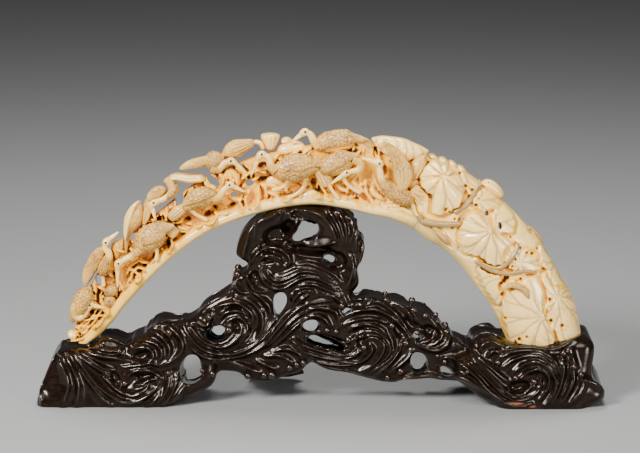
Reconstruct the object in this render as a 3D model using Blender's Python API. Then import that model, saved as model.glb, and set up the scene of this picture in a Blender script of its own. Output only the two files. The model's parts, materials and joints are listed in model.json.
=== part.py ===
"""A hippopotamus tusk carved in openwork with herons, lotus leaves and frogs, lying on a
carved wooden stand of breaking waves.

Places are written as they are seen from the front: steps to the right and steps down, in
the plane of the tusk. The function place turns them into the part's own frame, in metres.
"""
import math

import bmesh
import bpy
from mathutils import Vector

# Driving dimensions, in metres and degrees
OVERALL_WIDTH = 0.430
VIEW_ELEVATION = math.radians(12.0)
CONTACT_GAP = 0.0003
TUSK_PLANE_Y = -0.0085

# The drawing that the places are read from
LEFT_EDGE = 33.8
RIGHT_EDGE = 606.8
FLOOR_LINE = 399.0
STEP = OVERALL_WIDTH / (RIGHT_EDGE - LEFT_EDGE)
MIDDLE = (LEFT_EDGE + RIGHT_EDGE) / 2

# Depths of the figures on the tusk, in metres. A figure nearer the middle than CENTRED,
# as a share of FIGURE_DEPTH, shows from both sides and is made once.
FIGURE_DEPTH = 0.0125
BODY_HALF_DEPTH = 0.0075
NECK_RADIUS = 0.0022
NECK_OUT = 0.0035
HEAD_HALF_DEPTH = 0.0030
BAND_STANDS_OUT = 0.0020
CENTRED = 0.5
THINNEST = 0.35
FRONT, BACK = -1.0, 1.0

# The stand: half depths at the floor in metres, the rounding of the front and back edges,
# and the share of its depth that each piece loses for every metre of height.
LEFT_FOOT = {"half_depth": 0.032, "rounding": 0.009, "narrowing": 5.5}
ARM = {"half_depth": 0.019, "rounding": 0.007, "narrowing": 1.6}
RIGHT_FOOT = {"half_depth": 0.037, "rounding": 0.009, "narrowing": 4.5}
WAVE_RADIUS = 0.0036
WAVE_SUNK = 0.0011
WAVE_HALF_WIDTH = 4.6
CUT_HALF_DEPTH = 0.045

# Stations of the tusk from its tip to its base: the inner edge, the outer edge, how much
# of the way across the core reaches, and its half depth in metres.
TUSK_STATIONS = [
    ((88, 343), (67, 342), 0.95, 0.0075),
    ((99, 334), (71, 322), 0.88, 0.0085),
    ((114, 319), (80, 298), 0.80, 0.0095),
    ((124, 306), (86, 274), 0.82, 0.0100),
    ((146, 282), (101, 248), 0.80, 0.0105),
    ((171, 258), (127, 220), 0.78, 0.0110),
    ((197, 238), (150, 199), 0.74, 0.0115),
    ((221, 225), (176, 178), 0.76, 0.0120),
    ((251, 214), (212, 158), 0.78, 0.0125),
    ((283, 206), (258, 142), 0.80, 0.0130),
    ((312, 203), (303, 134), 0.82, 0.0130),
    ((340, 206), (346, 132), 0.84, 0.0140),
    ((371, 213), (386, 137), 0.88, 0.0155),
    ((391, 218), (416, 147), 0.94, 0.0175),
    ((412, 228), (450, 163), 1.00, 0.0195),
    ((428, 240), (480, 182), 1.00, 0.0205),
    ((440, 246), (511, 208), 1.00, 0.0210),
    ((458, 262), (541, 242), 1.00, 0.0215),
    ((478, 288), (562, 276), 1.00, 0.0220),
    ((491, 305), (575, 299), 1.00, 0.0220),
    ((504, 331), (582, 327), 1.00, 0.0215),
    ((510, 345), (584, 338), 1.00, 0.0200),
]

# The band runs to this station, and its half width is in steps.
BAND_END = 16
BAND_HALF_WIDTH = 7

# Holes cut right through the openwork: centre, half width, half height and lean.
TUSK_HOLES = [
    ((98.5, 280.5), 3.6, 6.0, 0.3),
    ((133.0, 237.0), 4.6, 4.2, 0.6),
    ((181.0, 197.0), 3.8, 13.5, 0.12),
    ((214.0, 181.0), 4.0, 8.5, 0.9),
    ((250.0, 183.0), 4.5, 3.6, 0.0),
    ((235.0, 194.0), 3.6, 2.6, 0.0),
]

# Half widths in steps of a heron's neck, and along its head from the nape to the beak's tip.
NECK_HALF_WIDTH = 3.0
HEAD_HALF_WIDTHS = (2.6, 4.4, 2.6, 1.0)

# Herons. A body, tail or wing is a run of places with half widths, a neck and a beak are
# runs of places, and depth tells which face of the tusk the bird stands on.
HERONS = [
    {"name": "a", "depth": -0.45, "head": (89.6, 305.2), "beak": [(93, 306), (105, 308.5)],
     "neck": [(77, 307), (76.5, 316), (81, 318), (84.5, 311)],
     "body": [((88, 289), 3), ((83, 299), 8), ((77, 312), 6), ((71, 323.5), 1.6)]},
    {"name": "b", "depth": -0.35, "head": (106.6, 243), "beak": [(110, 240), (119.4, 231.8)],
     "neck": [(106, 262), (110, 256), (107.5, 250)],
     "body": [((104, 250), 3.5), ((103, 260), 7.5), ((97, 272), 6.5), ((88.5, 284), 1.8)]},
    {"name": "d", "depth": -0.95, "head": (119.8, 263.2), "beak": [(118.6, 268), (118.2, 288)],
     "neck": [(140, 250), (133.5, 255.6), (128, 258.6)],
     "body": [((136, 252), 5), ((145, 243), 11), ((156, 235), 12), ((167, 229), 5.5),
              ((176, 238), 3)]},
    {"name": "e", "depth": -0.30, "head": (154.6, 203), "beak": [(152.6, 208), (157, 222)],
     "neck": [(167, 178), (171, 187), (172.5, 193.5), (165.5, 198.7)],
     "body": [((172, 179), 4), ((163, 188), 8), ((154, 197), 5), ((149, 201), 2)]},
    {"name": "g", "depth": -0.95, "head": (230.7, 185.8), "beak": [(235, 187), (245.6, 192.2)],
     "neck": [(214, 199), (220, 197.5), (224, 191)],
     "body": [((218, 199), 4.5), ((207, 197), 9.5), ((195, 199), 9.5), ((183, 206), 5.5),
              ((170, 219), 4)]},
    {"name": "h", "depth": -0.40, "head": (231.8, 161.8), "beak": [(236, 163), (250.5, 175.5)],
     "neck": [(212, 169), (218, 170), (225, 164.5)],
     "body": [((228, 157), 3), ((216, 162), 9.5), ((203, 165), 6), ((191, 167), 4),
              ((181, 169.5), 1.6)]},
    {"name": "k", "depth": -1.05, "head": (262.8, 156), "beak": [(258.5, 160), (252.4, 175)],
     "neck": [(275, 172), (271, 167), (270, 160)],
     "body": [((272, 173), 5), ((284, 170), 11), ((298, 166), 14), ((313, 163), 9),
              ((323, 172), 7), ((328, 186), 5.5)]},
    {"name": "m", "depth": -0.30, "head": (305.3, 133.4), "beak": [(300.5, 136), (291.5, 143.5)],
     "neck": [(317, 147), (313.5, 141), (310.5, 135.5)],
     "body": [((316, 149), 4), ((327, 143.5), 11), ((343, 142), 10.5), ((357, 142), 7),
              ((370, 153), 6)]},
    {"name": "n", "depth": -1.00, "head": (346.4, 173.6), "beak": [(341, 176), (330, 185)],
     "neck": [(356, 161), (359.5, 168), (353, 171.5)],
     "body": [((321, 172), 5), ((331, 165.5), 11), ((345, 161), 9), ((357, 160), 4.5)]},
    {"name": "o", "depth": -1.00, "head": (378.5, 165), "beak": [(374, 163), (361, 159)],
     "neck": [(386, 189), (380, 181), (378.8, 171)],
     "body": [((384, 188), 4.5), ((394, 192), 8.5), ((405, 194), 9), ((417, 196), 7.5),
              ((427, 203), 4.5)]},
]

# Wings, leaves, buds and pods that stand clear of the core: places with half widths, the
# depth of the middle, and a half depth in metres.
BLADES = [
    ("knob", [((67, 336), 3), ((71, 336), 5.2), ((75, 338), 3)], -0.3, 0.0048),
    ("lotus_bud", [((139, 201), 1.2), ((136, 212), 7), ((133, 222), 9), ((127, 238), 5.5),
                   ((126, 254), 1.4)], -0.5, 0.0055),
    ("pod_behind_bud", [((149, 198), 3), ((149, 212), 7), ((144, 226), 3)], -0.1, 0.0070),
    ("rear_heron_back", [((124, 238), 2), ((119, 248), 7), ((113, 259), 3)], 0.0, 0.0065),
    ("leaf_on_edge", [((168.6, 179), 2), ((180, 178.6), 4.4), ((193, 179.6), 4.8),
                      ((206.8, 180.6), 1.8)], -0.2, 0.0095),
    ("fan_wing", [((224, 155), 3), ((236, 150), 8.5), ((248, 147.5), 7.5), ((262, 144.5), 3)],
     -0.3, 0.0060),
    ("seed_pod", [((261, 142), 3.5), ((270, 141), 8), ((280, 142), 4.5)], -0.1, 0.0065),
    ("small_pod", [((281, 142), 2.5), ((287, 141), 3.4), ((293, 143), 2)], 0.1, 0.0050),
    ("leaf_behind_heron", [((277, 154), 3), ((286, 151), 8.5), ((298, 151), 8), ((305, 150), 4)],
     0.0, 0.0060),
    ("front_wing", [((382, 144), 1.6), ((393, 154), 6), ((401, 168), 9.5), ((402, 185), 7)],
     -1.05, 0.0055),
    ("back_wing", [((423, 156), 2), ((416, 165), 7.5), ((412, 180), 6)], -0.95, 0.0050),
    ("folded_leaf", [((372, 141), 2.5), ((386, 142), 6.5), ((402, 147), 8.5), ((416, 153), 7.5),
                     ((428, 155), 3)], -0.4, 0.0090),
    ("upper_frog", [((480, 189), 3), ((489, 188), 8.5), ((499, 194), 6), ((504, 202), 3)],
     -0.1, 0.0070),
    ("lower_frog", [((519, 228), 2.5), ((528, 234), 8), ((538, 241), 6), ((543, 248), 2.5)],
     0.0, 0.0070),
    ("lotus_leaf_left", [((424, 193), 8), ((440, 190), 24), ((458, 188), 14)], -1.3, 0.0060),
    ("lotus_leaf_middle", [((468, 232), 13), ((486, 240), 22), ((505, 250), 12)], -1.4, 0.0060),
    ("lotus_leaf_low", [((508, 305), 12), ((524, 304), 24), ((541, 304), 18)], -1.45, 0.0060),
]

# Outlines of the stand, as seen from the front. The feet reach below the floor line and are
# cut off flat there.
LEFT_FOOT_OUTLINE = [
    (60, 346), (50, 363), (42, 381), (34.5, 395), (40, 405), (166, 405), (182, 396), (197, 388),
    (212, 381), (219, 368), (216, 340), (206, 322), (191, 317), (176, 319), (159, 319),
    (146, 328), (134, 334), (126, 343), (112, 337), (99, 335), (92, 343), (76, 345),
]
ARM_OUTLINE = [
    (182, 322), (196, 311), (211, 301), (225, 294), (232, 285), (233, 271), (248, 267),
    (244, 258), (235, 253), (241, 232), (257, 216), (279, 206), (300, 204), (324, 206),
    (345, 212), (356, 222), (361, 237), (361, 250), (358, 266), (360, 278), (352, 294),
    (364, 297), (374, 295), (399, 301), (421, 309), (441, 321), (459, 337), (470, 345),
    (500, 360), (500, 392), (480, 388), (463, 379), (430, 374), (404, 376), (391, 380),
    (368, 376), (348, 369), (327, 365), (312, 359), (300, 367), (284, 371), (262, 374),
    (244, 372), (230, 368), (208, 372), (190, 386), (170, 390),
]
RIGHT_FOOT_OUTLINE = [
    (468, 346), (474, 336), (484, 331), (497, 334), (506, 337), (585, 331), (592, 334),
    (595, 341), (594, 371), (602, 378), (606.8, 387), (603, 395), (590, 400), (578, 405),
    (507, 405), (494, 397), (479, 391), (466, 381), (455, 372), (456, 352),
]
STAND_HOLES = [
    [(188, 357), (197, 357), (200, 367), (200, 376), (193, 382), (185, 382), (181, 374),
     (182, 365)],
    [(208, 331), (222, 327), (225, 336), (217, 341), (210, 337)],
    [(275, 297), (284, 294), (285, 303), (276, 315)],
    [(304, 221), (315, 225), (314, 235), (305, 237), (294, 239), (300, 229)],
    [(303, 327), (310, 323), (317, 324), (312, 331)],
    [(306, 341), (311, 337), (328, 343), (346, 348), (337, 350), (320, 346)],
    [(412, 356), (422, 355), (427, 362), (426, 370), (415, 373)],
    [(441, 368), (450, 369), (455, 376), (443, 375)],
]

# The main wave crests that run over the stand, on its front and on its back: the piece of
# the stand that they lie on, and their places.
WAVES = [
    (LEFT_FOOT, [(66, 352), (84, 374), (97, 391), (112, 402)]),
    (LEFT_FOOT, [(64, 346), (87, 360), (107, 374), (114, 388), (138, 398), (158, 384)]),
    (LEFT_FOOT, [(132, 379), (142, 372), (160, 377), (170, 386), (163, 400)]),
    (ARM, [(185, 330), (200, 348), (223, 357), (250, 353), (272, 336), (293, 312), (318, 301)]),
    (ARM, [(197, 338), (221, 347), (241, 342), (245, 327), (230, 314), (215, 320)]),
    (ARM, [(253, 260), (262, 250), (277, 248), (290, 258), (284, 267)]),
    (ARM, [(261, 273), (274, 288), (295, 280), (315, 279), (338, 293)]),
    (ARM, [(324, 208), (336, 222), (343, 241), (352, 262)]),
    (ARM, [(341, 318), (367, 309), (393, 316), (408, 330), (403, 352), (384, 366)]),
    (ARM, [(356, 327), (374, 326), (386, 340), (378, 359)]),
    (ARM, [(291, 340), (316, 354), (350, 363), (385, 372)]),
    (ARM, [(423, 342), (437, 338), (446, 326)]),
    (RIGHT_FOOT, [(451, 358), (466, 368), (494, 387), (507, 401)]),
    (RIGHT_FOOT, [(500, 356), (527, 347), (547, 352), (557, 374), (545, 400)]),
    (RIGHT_FOOT, [(517, 370), (532, 359), (551, 367), (549, 385), (530, 400)]),
]

# The foot that curls out behind the stand: place, half width, half depth and depth in metres.
REAR_LEG = [
    ((298, 338), 20, 0.014, 0.004), ((290, 343), 22, 0.013, 0.018),
    ((281, 351), 23, 0.012, 0.031), ((276, 363), 25, 0.011, 0.041), ((275, 378), 27, 0.010, 0.046),
]
REAR_TOE = [((243, 380), 4), ((257, 374), 10), ((275, 372), 12), ((293, 374), 10), ((306, 380), 4)]
REAR_TOE_DEPTH = 0.046
REAR_TOE_HALF_DEPTH = 0.0115

IVORY = (0.82, 0.70, 0.53, 1.0)
DARK_WOOD = (0.035, 0.022, 0.016, 1.0)


def place(right, down, depth=0.0):
    """Turns a place in the drawing, at a depth behind the tusk's plane, into metres."""
    height = (FLOOR_LINE - down) * STEP / math.cos(VIEW_ELEVATION)
    return Vector((
        (right - MIDDLE) * STEP,
        TUSK_PLANE_Y + depth,
        height - depth * math.tan(VIEW_ELEVATION),
    ))


def finish(name, color, roughness):
    """A plain Principled material."""
    material = bpy.data.materials.new(name)
    material.use_nodes = True
    shader = material.node_tree.nodes["Principled BSDF"]
    shader.inputs["Base Color"].default_value = color
    shader.inputs["Roughness"].default_value = roughness
    shader.inputs["Metallic"].default_value = 0.0
    return material


def mesh_object(name, bm):
    """Makes an object from a bmesh, with its faces pointing out."""
    bmesh.ops.recalc_face_normals(bm, faces=bm.faces)
    mesh = bpy.data.meshes.new(name)
    bm.to_mesh(mesh)
    bm.free()
    made = bpy.data.objects.new(name, mesh)
    bpy.context.scene.collection.objects.link(made)
    return made


def loft(name, stations, sides):
    """Sweeps an oval along stations of (x, y, z, half width, half depth), with closed ends."""
    bm = bmesh.new()
    rings = []
    last = len(stations) - 1
    for i, (x, y, z, half_width, half_depth) in enumerate(stations):
        ahead = Vector(stations[min(i + 1, last)][:3]) - Vector(stations[max(i - 1, 0)][:3])
        across = ahead.cross(Vector((0, 1, 0))).normalized()
        through = across.cross(ahead).normalized()
        ring = []
        for k in range(sides):
            angle = 2 * math.pi * (k + 0.5) / sides
            offset = across * half_width * math.cos(angle) + through * half_depth * math.sin(angle)
            ring.append(bm.verts.new(Vector((x, y, z)) + offset))
        rings.append(ring)
    for ring, following in zip(rings, rings[1:]):
        for k in range(sides):
            j = (k + 1) % sides
            bm.faces.new((ring[k], ring[j], following[j], following[k]))
    bm.faces.new(rings[0])
    bm.faces.new(rings[-1])
    return mesh_object(name, bm)


def run(name, places, depth, half_depth, sides=6):
    """Lofts places with half widths, at one depth, thinning where the run is narrow."""
    widest = max(half_width for _, half_width in places)
    stations = []
    for where, half_width in places:
        share = THINNEST + (1.0 - THINNEST) * half_width / widest
        stations.append([*place(*where, depth), half_width * STEP, half_depth * share])
    return loft(name, stations, sides)


def joined(base, other, operation, solver="EXACT"):
    """Applies one Boolean of another object to the base, and removes that object."""
    modifier = base.modifiers.new("Boolean", "BOOLEAN")
    modifier.operation = operation
    modifier.solver = solver
    modifier.object = other
    evaluated = base.evaluated_get(bpy.context.evaluated_depsgraph_get())
    mesh = bpy.data.meshes.new_from_object(evaluated)
    base.modifiers.clear()
    base.data = mesh
    bpy.data.objects.remove(other)


def tusk_core(grow=0.0):
    """The tusk's own curved body, grown all round by a clearance."""
    rows = []
    for inner, outer, reach, half_depth in TUSK_STATIONS:
        edge = Vector(inner)
        far = edge + (Vector(outer) - edge) * reach
        middle = (edge + far) / 2
        rows.append([*middle, (far - edge).length / 2, half_depth])
    stations = [[*place(right, down), half_width * STEP + grow, half_depth + grow]
                for right, down, half_width, half_depth in rows]
    return loft("tusk", stations, 12)


def tusk_band(grow=0.0):
    """The smooth rounded band along the concave side, grown all round by a clearance."""
    rows = []
    for inner, outer, _, half_depth in TUSK_STATIONS[1:BAND_END]:
        edge = Vector(inner)
        inward = (Vector(outer) - edge).normalized()
        rows.append([*(edge + inward * BAND_HALF_WIDTH), half_depth + BAND_STANDS_OUT])
    stations = [[*place(right, down), BAND_HALF_WIDTH * STEP + grow, half_depth + grow]
                for right, down, half_depth in rows]
    return loft("band", stations, 8)


def heron(bird, face):
    """One heron's body with its tail, its neck, and its head with the beak."""
    depth = face * abs(bird["depth"]) * FIGURE_DEPTH
    neck = [*bird["neck"], bird["head"]]
    neck_depth = depth + face * NECK_OUT
    along_head = [bird["neck"][-1], bird["head"], *bird["beak"]]
    return [
        run("body", bird["body"], depth, BODY_HALF_DEPTH),
        run("neck", [(where, NECK_HALF_WIDTH) for where in neck], neck_depth, NECK_RADIUS, 5),
        run("head", list(zip(along_head, HEAD_HALF_WIDTHS)), neck_depth, HEAD_HALF_DEPTH, 5),
    ]


def prism(name, outline, half_depth):
    """A straight-sided cutter with this outline, through the tusk's plane."""
    bm = bmesh.new()
    near = [bm.verts.new(place(*where, -half_depth)) for where in outline]
    far = [bm.verts.new(place(*where, half_depth)) for where in outline]
    bm.faces.new(near)
    bm.faces.new(far)
    for k in range(len(outline)):
        j = (k + 1) % len(outline)
        bm.faces.new((near[k], near[j], far[j], far[k]))
    return mesh_object(name, bm)


def leaning_oval(centre, half_width, half_height, lean):
    """Six places round an oval that leans to one side."""
    places = []
    for k in range(6):
        angle = 2 * math.pi * k / 6
        across = half_width * math.cos(angle)
        down = half_height * math.sin(angle)
        places.append((centre[0] + across * math.cos(lean) + down * math.sin(lean),
                       centre[1] - across * math.sin(lean) + down * math.cos(lean)))
    return places


def build_tusk():
    """The whole carved tusk, one solid."""
    tusk = tusk_core()
    joined(tusk, tusk_band(), "UNION")
    for hole in TUSK_HOLES:
        joined(tusk, prism("hole", leaning_oval(*hole), CUT_HALF_DEPTH), "DIFFERENCE")
    for bird in HERONS:
        faces = (FRONT, BACK) if abs(bird["depth"]) > CENTRED else (FRONT,)
        for face in faces:
            for piece in heron(bird, face):
                joined(tusk, piece, "UNION")
    for name, places, depth, half_depth in BLADES:
        faces = (FRONT, BACK) if abs(depth) > CENTRED else (FRONT,)
        for face in faces:
            blade = run(name, places, -face * depth * FIGURE_DEPTH, half_depth)
            joined(tusk, blade, "UNION")
    tusk.name = "tusk"
    tusk.data.name = "tusk"
    return tusk


def narrowed(wood, height):
    """The share of its depth that a piece of the stand keeps at this height."""
    return 1.0 - wood["narrowing"] * height


def slab(name, outline, wood):
    """A piece of wood with this outline, rounded along its edges and narrowing upwards."""
    drawing = bpy.data.curves.new(name, "CURVE")
    drawing.dimensions = "2D"
    drawing.fill_mode = "BOTH"
    line = drawing.splines.new("POLY")
    line.points.add(len(outline) - 1)
    line.use_cyclic_u = True
    for point, where in zip(line.points, outline):
        there = place(*where)
        point.co = (there.x, there.z, 0.0, 1.0)
    drawing.extrude = wood["half_depth"] - wood["rounding"]
    drawing.bevel_depth = wood["rounding"]
    drawing.bevel_resolution = 1
    drawing.offset = -wood["rounding"]
    flat = bpy.data.objects.new(name, drawing)
    bpy.context.scene.collection.objects.link(flat)
    evaluated = flat.evaluated_get(bpy.context.evaluated_depsgraph_get())
    bm = bmesh.new()
    bm.from_mesh(bpy.data.meshes.new_from_object(evaluated))
    bpy.data.objects.remove(flat)
    bmesh.ops.remove_doubles(bm, verts=bm.verts, dist=1e-6)
    for vert in bm.verts:
        x, height, depth = vert.co
        vert.co = (x, TUSK_PLANE_Y + depth * narrowed(wood, height), height)
    return mesh_object(name, bm)


def wave(places, wood, face):
    """One rounded crest, half sunk in the face of the wood it runs over."""
    stations = []
    for i, where in enumerate(places):
        half_width = WAVE_HALF_WIDTH if 0 < i < len(places) - 1 else WAVE_HALF_WIDTH / 2
        half_depth = wood["half_depth"] * narrowed(wood, place(*where).z)
        there = place(*where)
        there.y += face * (half_depth - WAVE_SUNK)
        stations.append([*there, half_width * STEP, WAVE_RADIUS])
    return loft("wave", stations, 6)


def rear_foot():
    """The leg that curls out behind and its toe, which reaches the floor there."""
    stations = []
    for where, half_width, half_depth, depth in REAR_LEG:
        stations.append([*place(*where, depth), half_width * STEP, half_depth])
    return [loft("rear_leg", stations, 8),
            run("rear_toe", REAR_TOE, REAR_TOE_DEPTH, REAR_TOE_HALF_DEPTH, 8)]


def under_floor():
    """A block that fills the space under the floor, to cut the feet off flat."""
    bm = bmesh.new()
    bmesh.ops.create_cube(bm, size=2 * OVERALL_WIDTH)
    bmesh.ops.translate(bm, verts=bm.verts, vec=(0.0, 0.0, -OVERALL_WIDTH))
    return mesh_object("under_floor", bm)


def build_stand():
    """The carved wooden stand, one solid, hollowed where the tusk lies on it."""
    stand = slab("stand", ARM_OUTLINE, ARM)
    joined(stand, slab("left_foot", LEFT_FOOT_OUTLINE, LEFT_FOOT), "UNION")
    joined(stand, slab("right_foot", RIGHT_FOOT_OUTLINE, RIGHT_FOOT), "UNION")
    for piece in rear_foot():
        joined(stand, piece, "UNION")
    for outline in STAND_HOLES:
        joined(stand, prism("hole", outline, CUT_HALF_DEPTH), "DIFFERENCE")
    # The exact solver drops the wood when the first crest is added, so these use the other.
    for wood, places in WAVES:
        for face in (FRONT, BACK):
            joined(stand, wave(places, wood, face), "UNION", "MANIFOLD")
    joined(stand, under_floor(), "DIFFERENCE", "MANIFOLD")
    for hollow in (tusk_core(CONTACT_GAP), tusk_band(CONTACT_GAP)):
        joined(stand, hollow, "DIFFERENCE", "MANIFOLD")
    stand.name = "stand"
    stand.data.name = "stand"
    return stand


def main():
    """Clears the scene and builds the tusk and its stand."""
    for old in list(bpy.data.objects):
        bpy.data.objects.remove(old, do_unlink=True)
    tusk = build_tusk()
    tusk.data.materials.append(finish("ivory", IVORY, 0.35))
    stand = build_stand()
    stand.data.materials.append(finish("dark_wood", DARK_WOOD, 0.30))
    for piece in (tusk, stand):
        piece.data.shade_smooth()
        piece.data.set_sharp_from_angle(angle=math.radians(40))


main()
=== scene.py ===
"""The fine carving and finish of a hippopotamus tusk that lies on a wooden stand of waves.

Places are written as they are seen from the front, in steps of the drawing: to the right
and down. The function place turns them into metres in the frame of the solids.
"""
from __future__ import annotations

import json
import logging
import math
import random
from dataclasses import dataclass, field
from enum import Enum
from typing import Callable, Iterable, Sequence

import bpy
import numpy as np
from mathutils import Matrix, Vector
from mathutils.bvhtree import BVHTree

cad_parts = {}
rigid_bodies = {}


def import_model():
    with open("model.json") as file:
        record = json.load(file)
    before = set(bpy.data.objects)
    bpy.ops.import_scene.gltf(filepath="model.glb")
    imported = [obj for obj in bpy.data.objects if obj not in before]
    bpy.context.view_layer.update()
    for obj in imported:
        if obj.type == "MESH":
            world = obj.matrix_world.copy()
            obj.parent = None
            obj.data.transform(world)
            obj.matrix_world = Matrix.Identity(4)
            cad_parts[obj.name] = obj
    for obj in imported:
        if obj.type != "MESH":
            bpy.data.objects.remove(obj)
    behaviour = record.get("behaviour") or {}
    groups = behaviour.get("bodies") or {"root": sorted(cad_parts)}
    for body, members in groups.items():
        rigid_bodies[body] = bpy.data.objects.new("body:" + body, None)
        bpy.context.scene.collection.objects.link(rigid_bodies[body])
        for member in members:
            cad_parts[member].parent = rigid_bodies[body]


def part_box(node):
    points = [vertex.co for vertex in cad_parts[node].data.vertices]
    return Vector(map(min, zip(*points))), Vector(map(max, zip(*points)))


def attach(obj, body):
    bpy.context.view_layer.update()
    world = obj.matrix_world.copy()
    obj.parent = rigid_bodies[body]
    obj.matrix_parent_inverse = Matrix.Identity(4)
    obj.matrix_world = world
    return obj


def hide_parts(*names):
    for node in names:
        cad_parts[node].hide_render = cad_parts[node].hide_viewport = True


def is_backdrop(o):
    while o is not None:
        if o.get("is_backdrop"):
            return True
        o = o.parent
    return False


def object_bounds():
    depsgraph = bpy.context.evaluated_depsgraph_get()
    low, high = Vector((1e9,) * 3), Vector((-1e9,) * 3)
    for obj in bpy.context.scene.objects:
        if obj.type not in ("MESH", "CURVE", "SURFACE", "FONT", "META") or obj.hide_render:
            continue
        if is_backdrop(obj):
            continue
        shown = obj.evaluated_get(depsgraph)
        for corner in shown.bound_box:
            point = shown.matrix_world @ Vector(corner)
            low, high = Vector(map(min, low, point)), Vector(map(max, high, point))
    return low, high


LOG = logging.getLogger("carved_tusk")

OVERALL_WIDTH = 0.430
VIEW_ELEVATION = math.radians(12.0)
TUSK_PLANE_Y = -0.0085
LEFT_EDGE = 33.8
RIGHT_EDGE = 606.8
FLOOR_LINE = 399.0
STEP = OVERALL_WIDTH / (RIGHT_EDGE - LEFT_EDGE)
MIDDLE = (LEFT_EDGE + RIGHT_EDGE) / 2
MM = 0.001
BODY = "root"
ONE_POINT = 1e-6
CLEAR_OF_ALL = 0.1
OVAL_CORNERS = 20

Array = np.ndarray
Place = tuple[float, float]
Station = tuple[float, float, float]
Color = tuple[float, float, float]
Field = Callable[[Array, Array], Array]


class Face(Enum):
    """The two sides of the tusk and of the stand."""

    FRONT = -1.0
    BACK = 1.0


class Slot(Enum):
    """The material slots of the record."""

    IVORY = "ivory"
    DARK_WOOD = "dark_wood"


def place(steps: Array, depth: Array | float = 0.0) -> Array:
    """Turns places in the drawing into points in metres.

    Args:
        steps: Rows of steps to the right and steps down.
        depth: Metres behind the tusk's plane, one number or one for each row.

    Returns:
        Rows of x, y and z in metres, which look to be at those steps from the front.
    """
    steps = np.asarray(steps, float)
    depth = np.broadcast_to(depth, steps.shape[:-1])
    height = (FLOOR_LINE - steps[..., 1]) * STEP / math.cos(VIEW_ELEVATION)
    return np.stack([(steps[..., 0] - MIDDLE) * STEP, TUSK_PLANE_Y + depth,
                     height - depth * math.tan(VIEW_ELEVATION)], -1)


def seen(points: Array) -> Array:
    """Turns points in metres into the steps of the drawing where they are seen.

    Args:
        points: Rows of x, y and z in metres.

    Returns:
        Rows of steps to the right and steps down.
    """
    depth = points[..., 1] - TUSK_PLANE_Y
    height = points[..., 2] + depth * math.tan(VIEW_ELEVATION)
    return np.stack([points[..., 0] / STEP + MIDDLE,
                     FLOOR_LINE - height * math.cos(VIEW_ELEVATION) / STEP], -1)


def curve_through(rows: Array, between: int) -> Array:
    """Runs a smooth curve from the second row to the last row but one.

    Args:
        rows: Rows of numbers, of which the first and the last only steer the curve.
        between: How many rows to take from each row to the next.

    Returns:
        The rows on the curve, without the one where it ends.
    """
    t = np.linspace(0.0, 1.0, between, endpoint=False)[:, None]
    return np.vstack([
        0.5 * (2 * q + (r - p) * t + (2 * p - 5 * q + 4 * r - s) * t ** 2
               + (3 * q - p - 3 * r + s) * t ** 3)
        for p, q, r, s in zip(rows, rows[1:], rows[2:], rows[3:])
    ])


def evened(rows: Array, count: int, closed: bool = False) -> Array:
    """Reads a run of rows at equal distances.

    Args:
        rows: Rows whose first columns, three at most, are a place or a point.
        count: How many rows to return.
        closed: Whether the last row repeats the first and is left out.

    Returns:
        The new rows, with every column carried along.
    """
    gone = np.linalg.norm(np.diff(rows[:, :3], axis=0), axis=1)
    along = np.concatenate([[0.0], np.cumsum(gone)])
    at = np.linspace(0.0, along[-1], count, endpoint=not closed)
    return np.stack([np.interp(at, along, column) for column in rows.T], 1)


def resample(rows: Array, count: int) -> Array:
    """Runs one smooth curve through rows and reads it at equal distances.

    Args:
        rows: Rows whose first three columns are a point in metres.
        count: How many rows to return.

    Returns:
        The new rows, with every column carried along.
    """
    rows = np.asarray(rows, float)
    padded = np.vstack([2 * rows[0] - rows[1], rows, 2 * rows[-1] - rows[-2]])
    return evened(np.vstack([curve_through(padded, 16), rows[-1:]]), count)


def resample_flat(line: Sequence[Place], count: int) -> Array:
    """Runs a smooth curve through places and reads it at equal distances.

    Args:
        line: The places.
        count: How many places to return.

    Returns:
        The new places, as rows.
    """
    return resample(np.column_stack([line, np.zeros(len(line))]), count)[:, :2]


def rounded(outline: Sequence[Place], count: int) -> Array:
    """Runs a smooth closed curve through the corners of an outline.

    Args:
        outline: The corners, each once.
        count: How many places to return.

    Returns:
        Places on the curve at equal distances, as rows.
    """
    corners = np.asarray(outline, float)
    fine = curve_through(np.vstack([corners[-1:], corners, corners[:2]]), 8)
    return evened(np.vstack([fine, fine[:1]]), count, closed=True)


def ease(low: float, high: float, values: Array) -> Array:
    """A smooth step from 0 at low to 1 at high."""
    t = np.clip((values - low) / (high - low), 0.0, 1.0)
    return t * t * (3.0 - 2.0 * t)


def near_line(steps: Array, line: Sequence[Place] | Array) -> tuple[Array, Array]:
    """Distance of each place to a run of straight pieces, and how far along it is.

    Args:
        steps: Places, as rows.
        line: The corners of the run.

    Returns:
        The distances in steps, and the shares of the run's length.
    """
    corners = np.asarray(line, float)
    lengths = np.linalg.norm(np.diff(corners, axis=0), axis=1)
    starts = np.concatenate([[0.0], np.cumsum(lengths)])
    best = np.full(len(steps), 1e9)
    share = np.zeros(len(steps))
    for a, b, start, length in zip(corners, corners[1:], starts, lengths):
        t = np.clip((steps - a) @ (b - a) / length ** 2, 0.0, 1.0)
        distance = np.linalg.norm(steps - a - t[:, None] * (b - a), axis=1)
        closer = distance < best
        best = np.where(closer, distance, best)
        share = np.where(closer, (start + t * length) / starts[-1], share)
    return best, share


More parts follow.
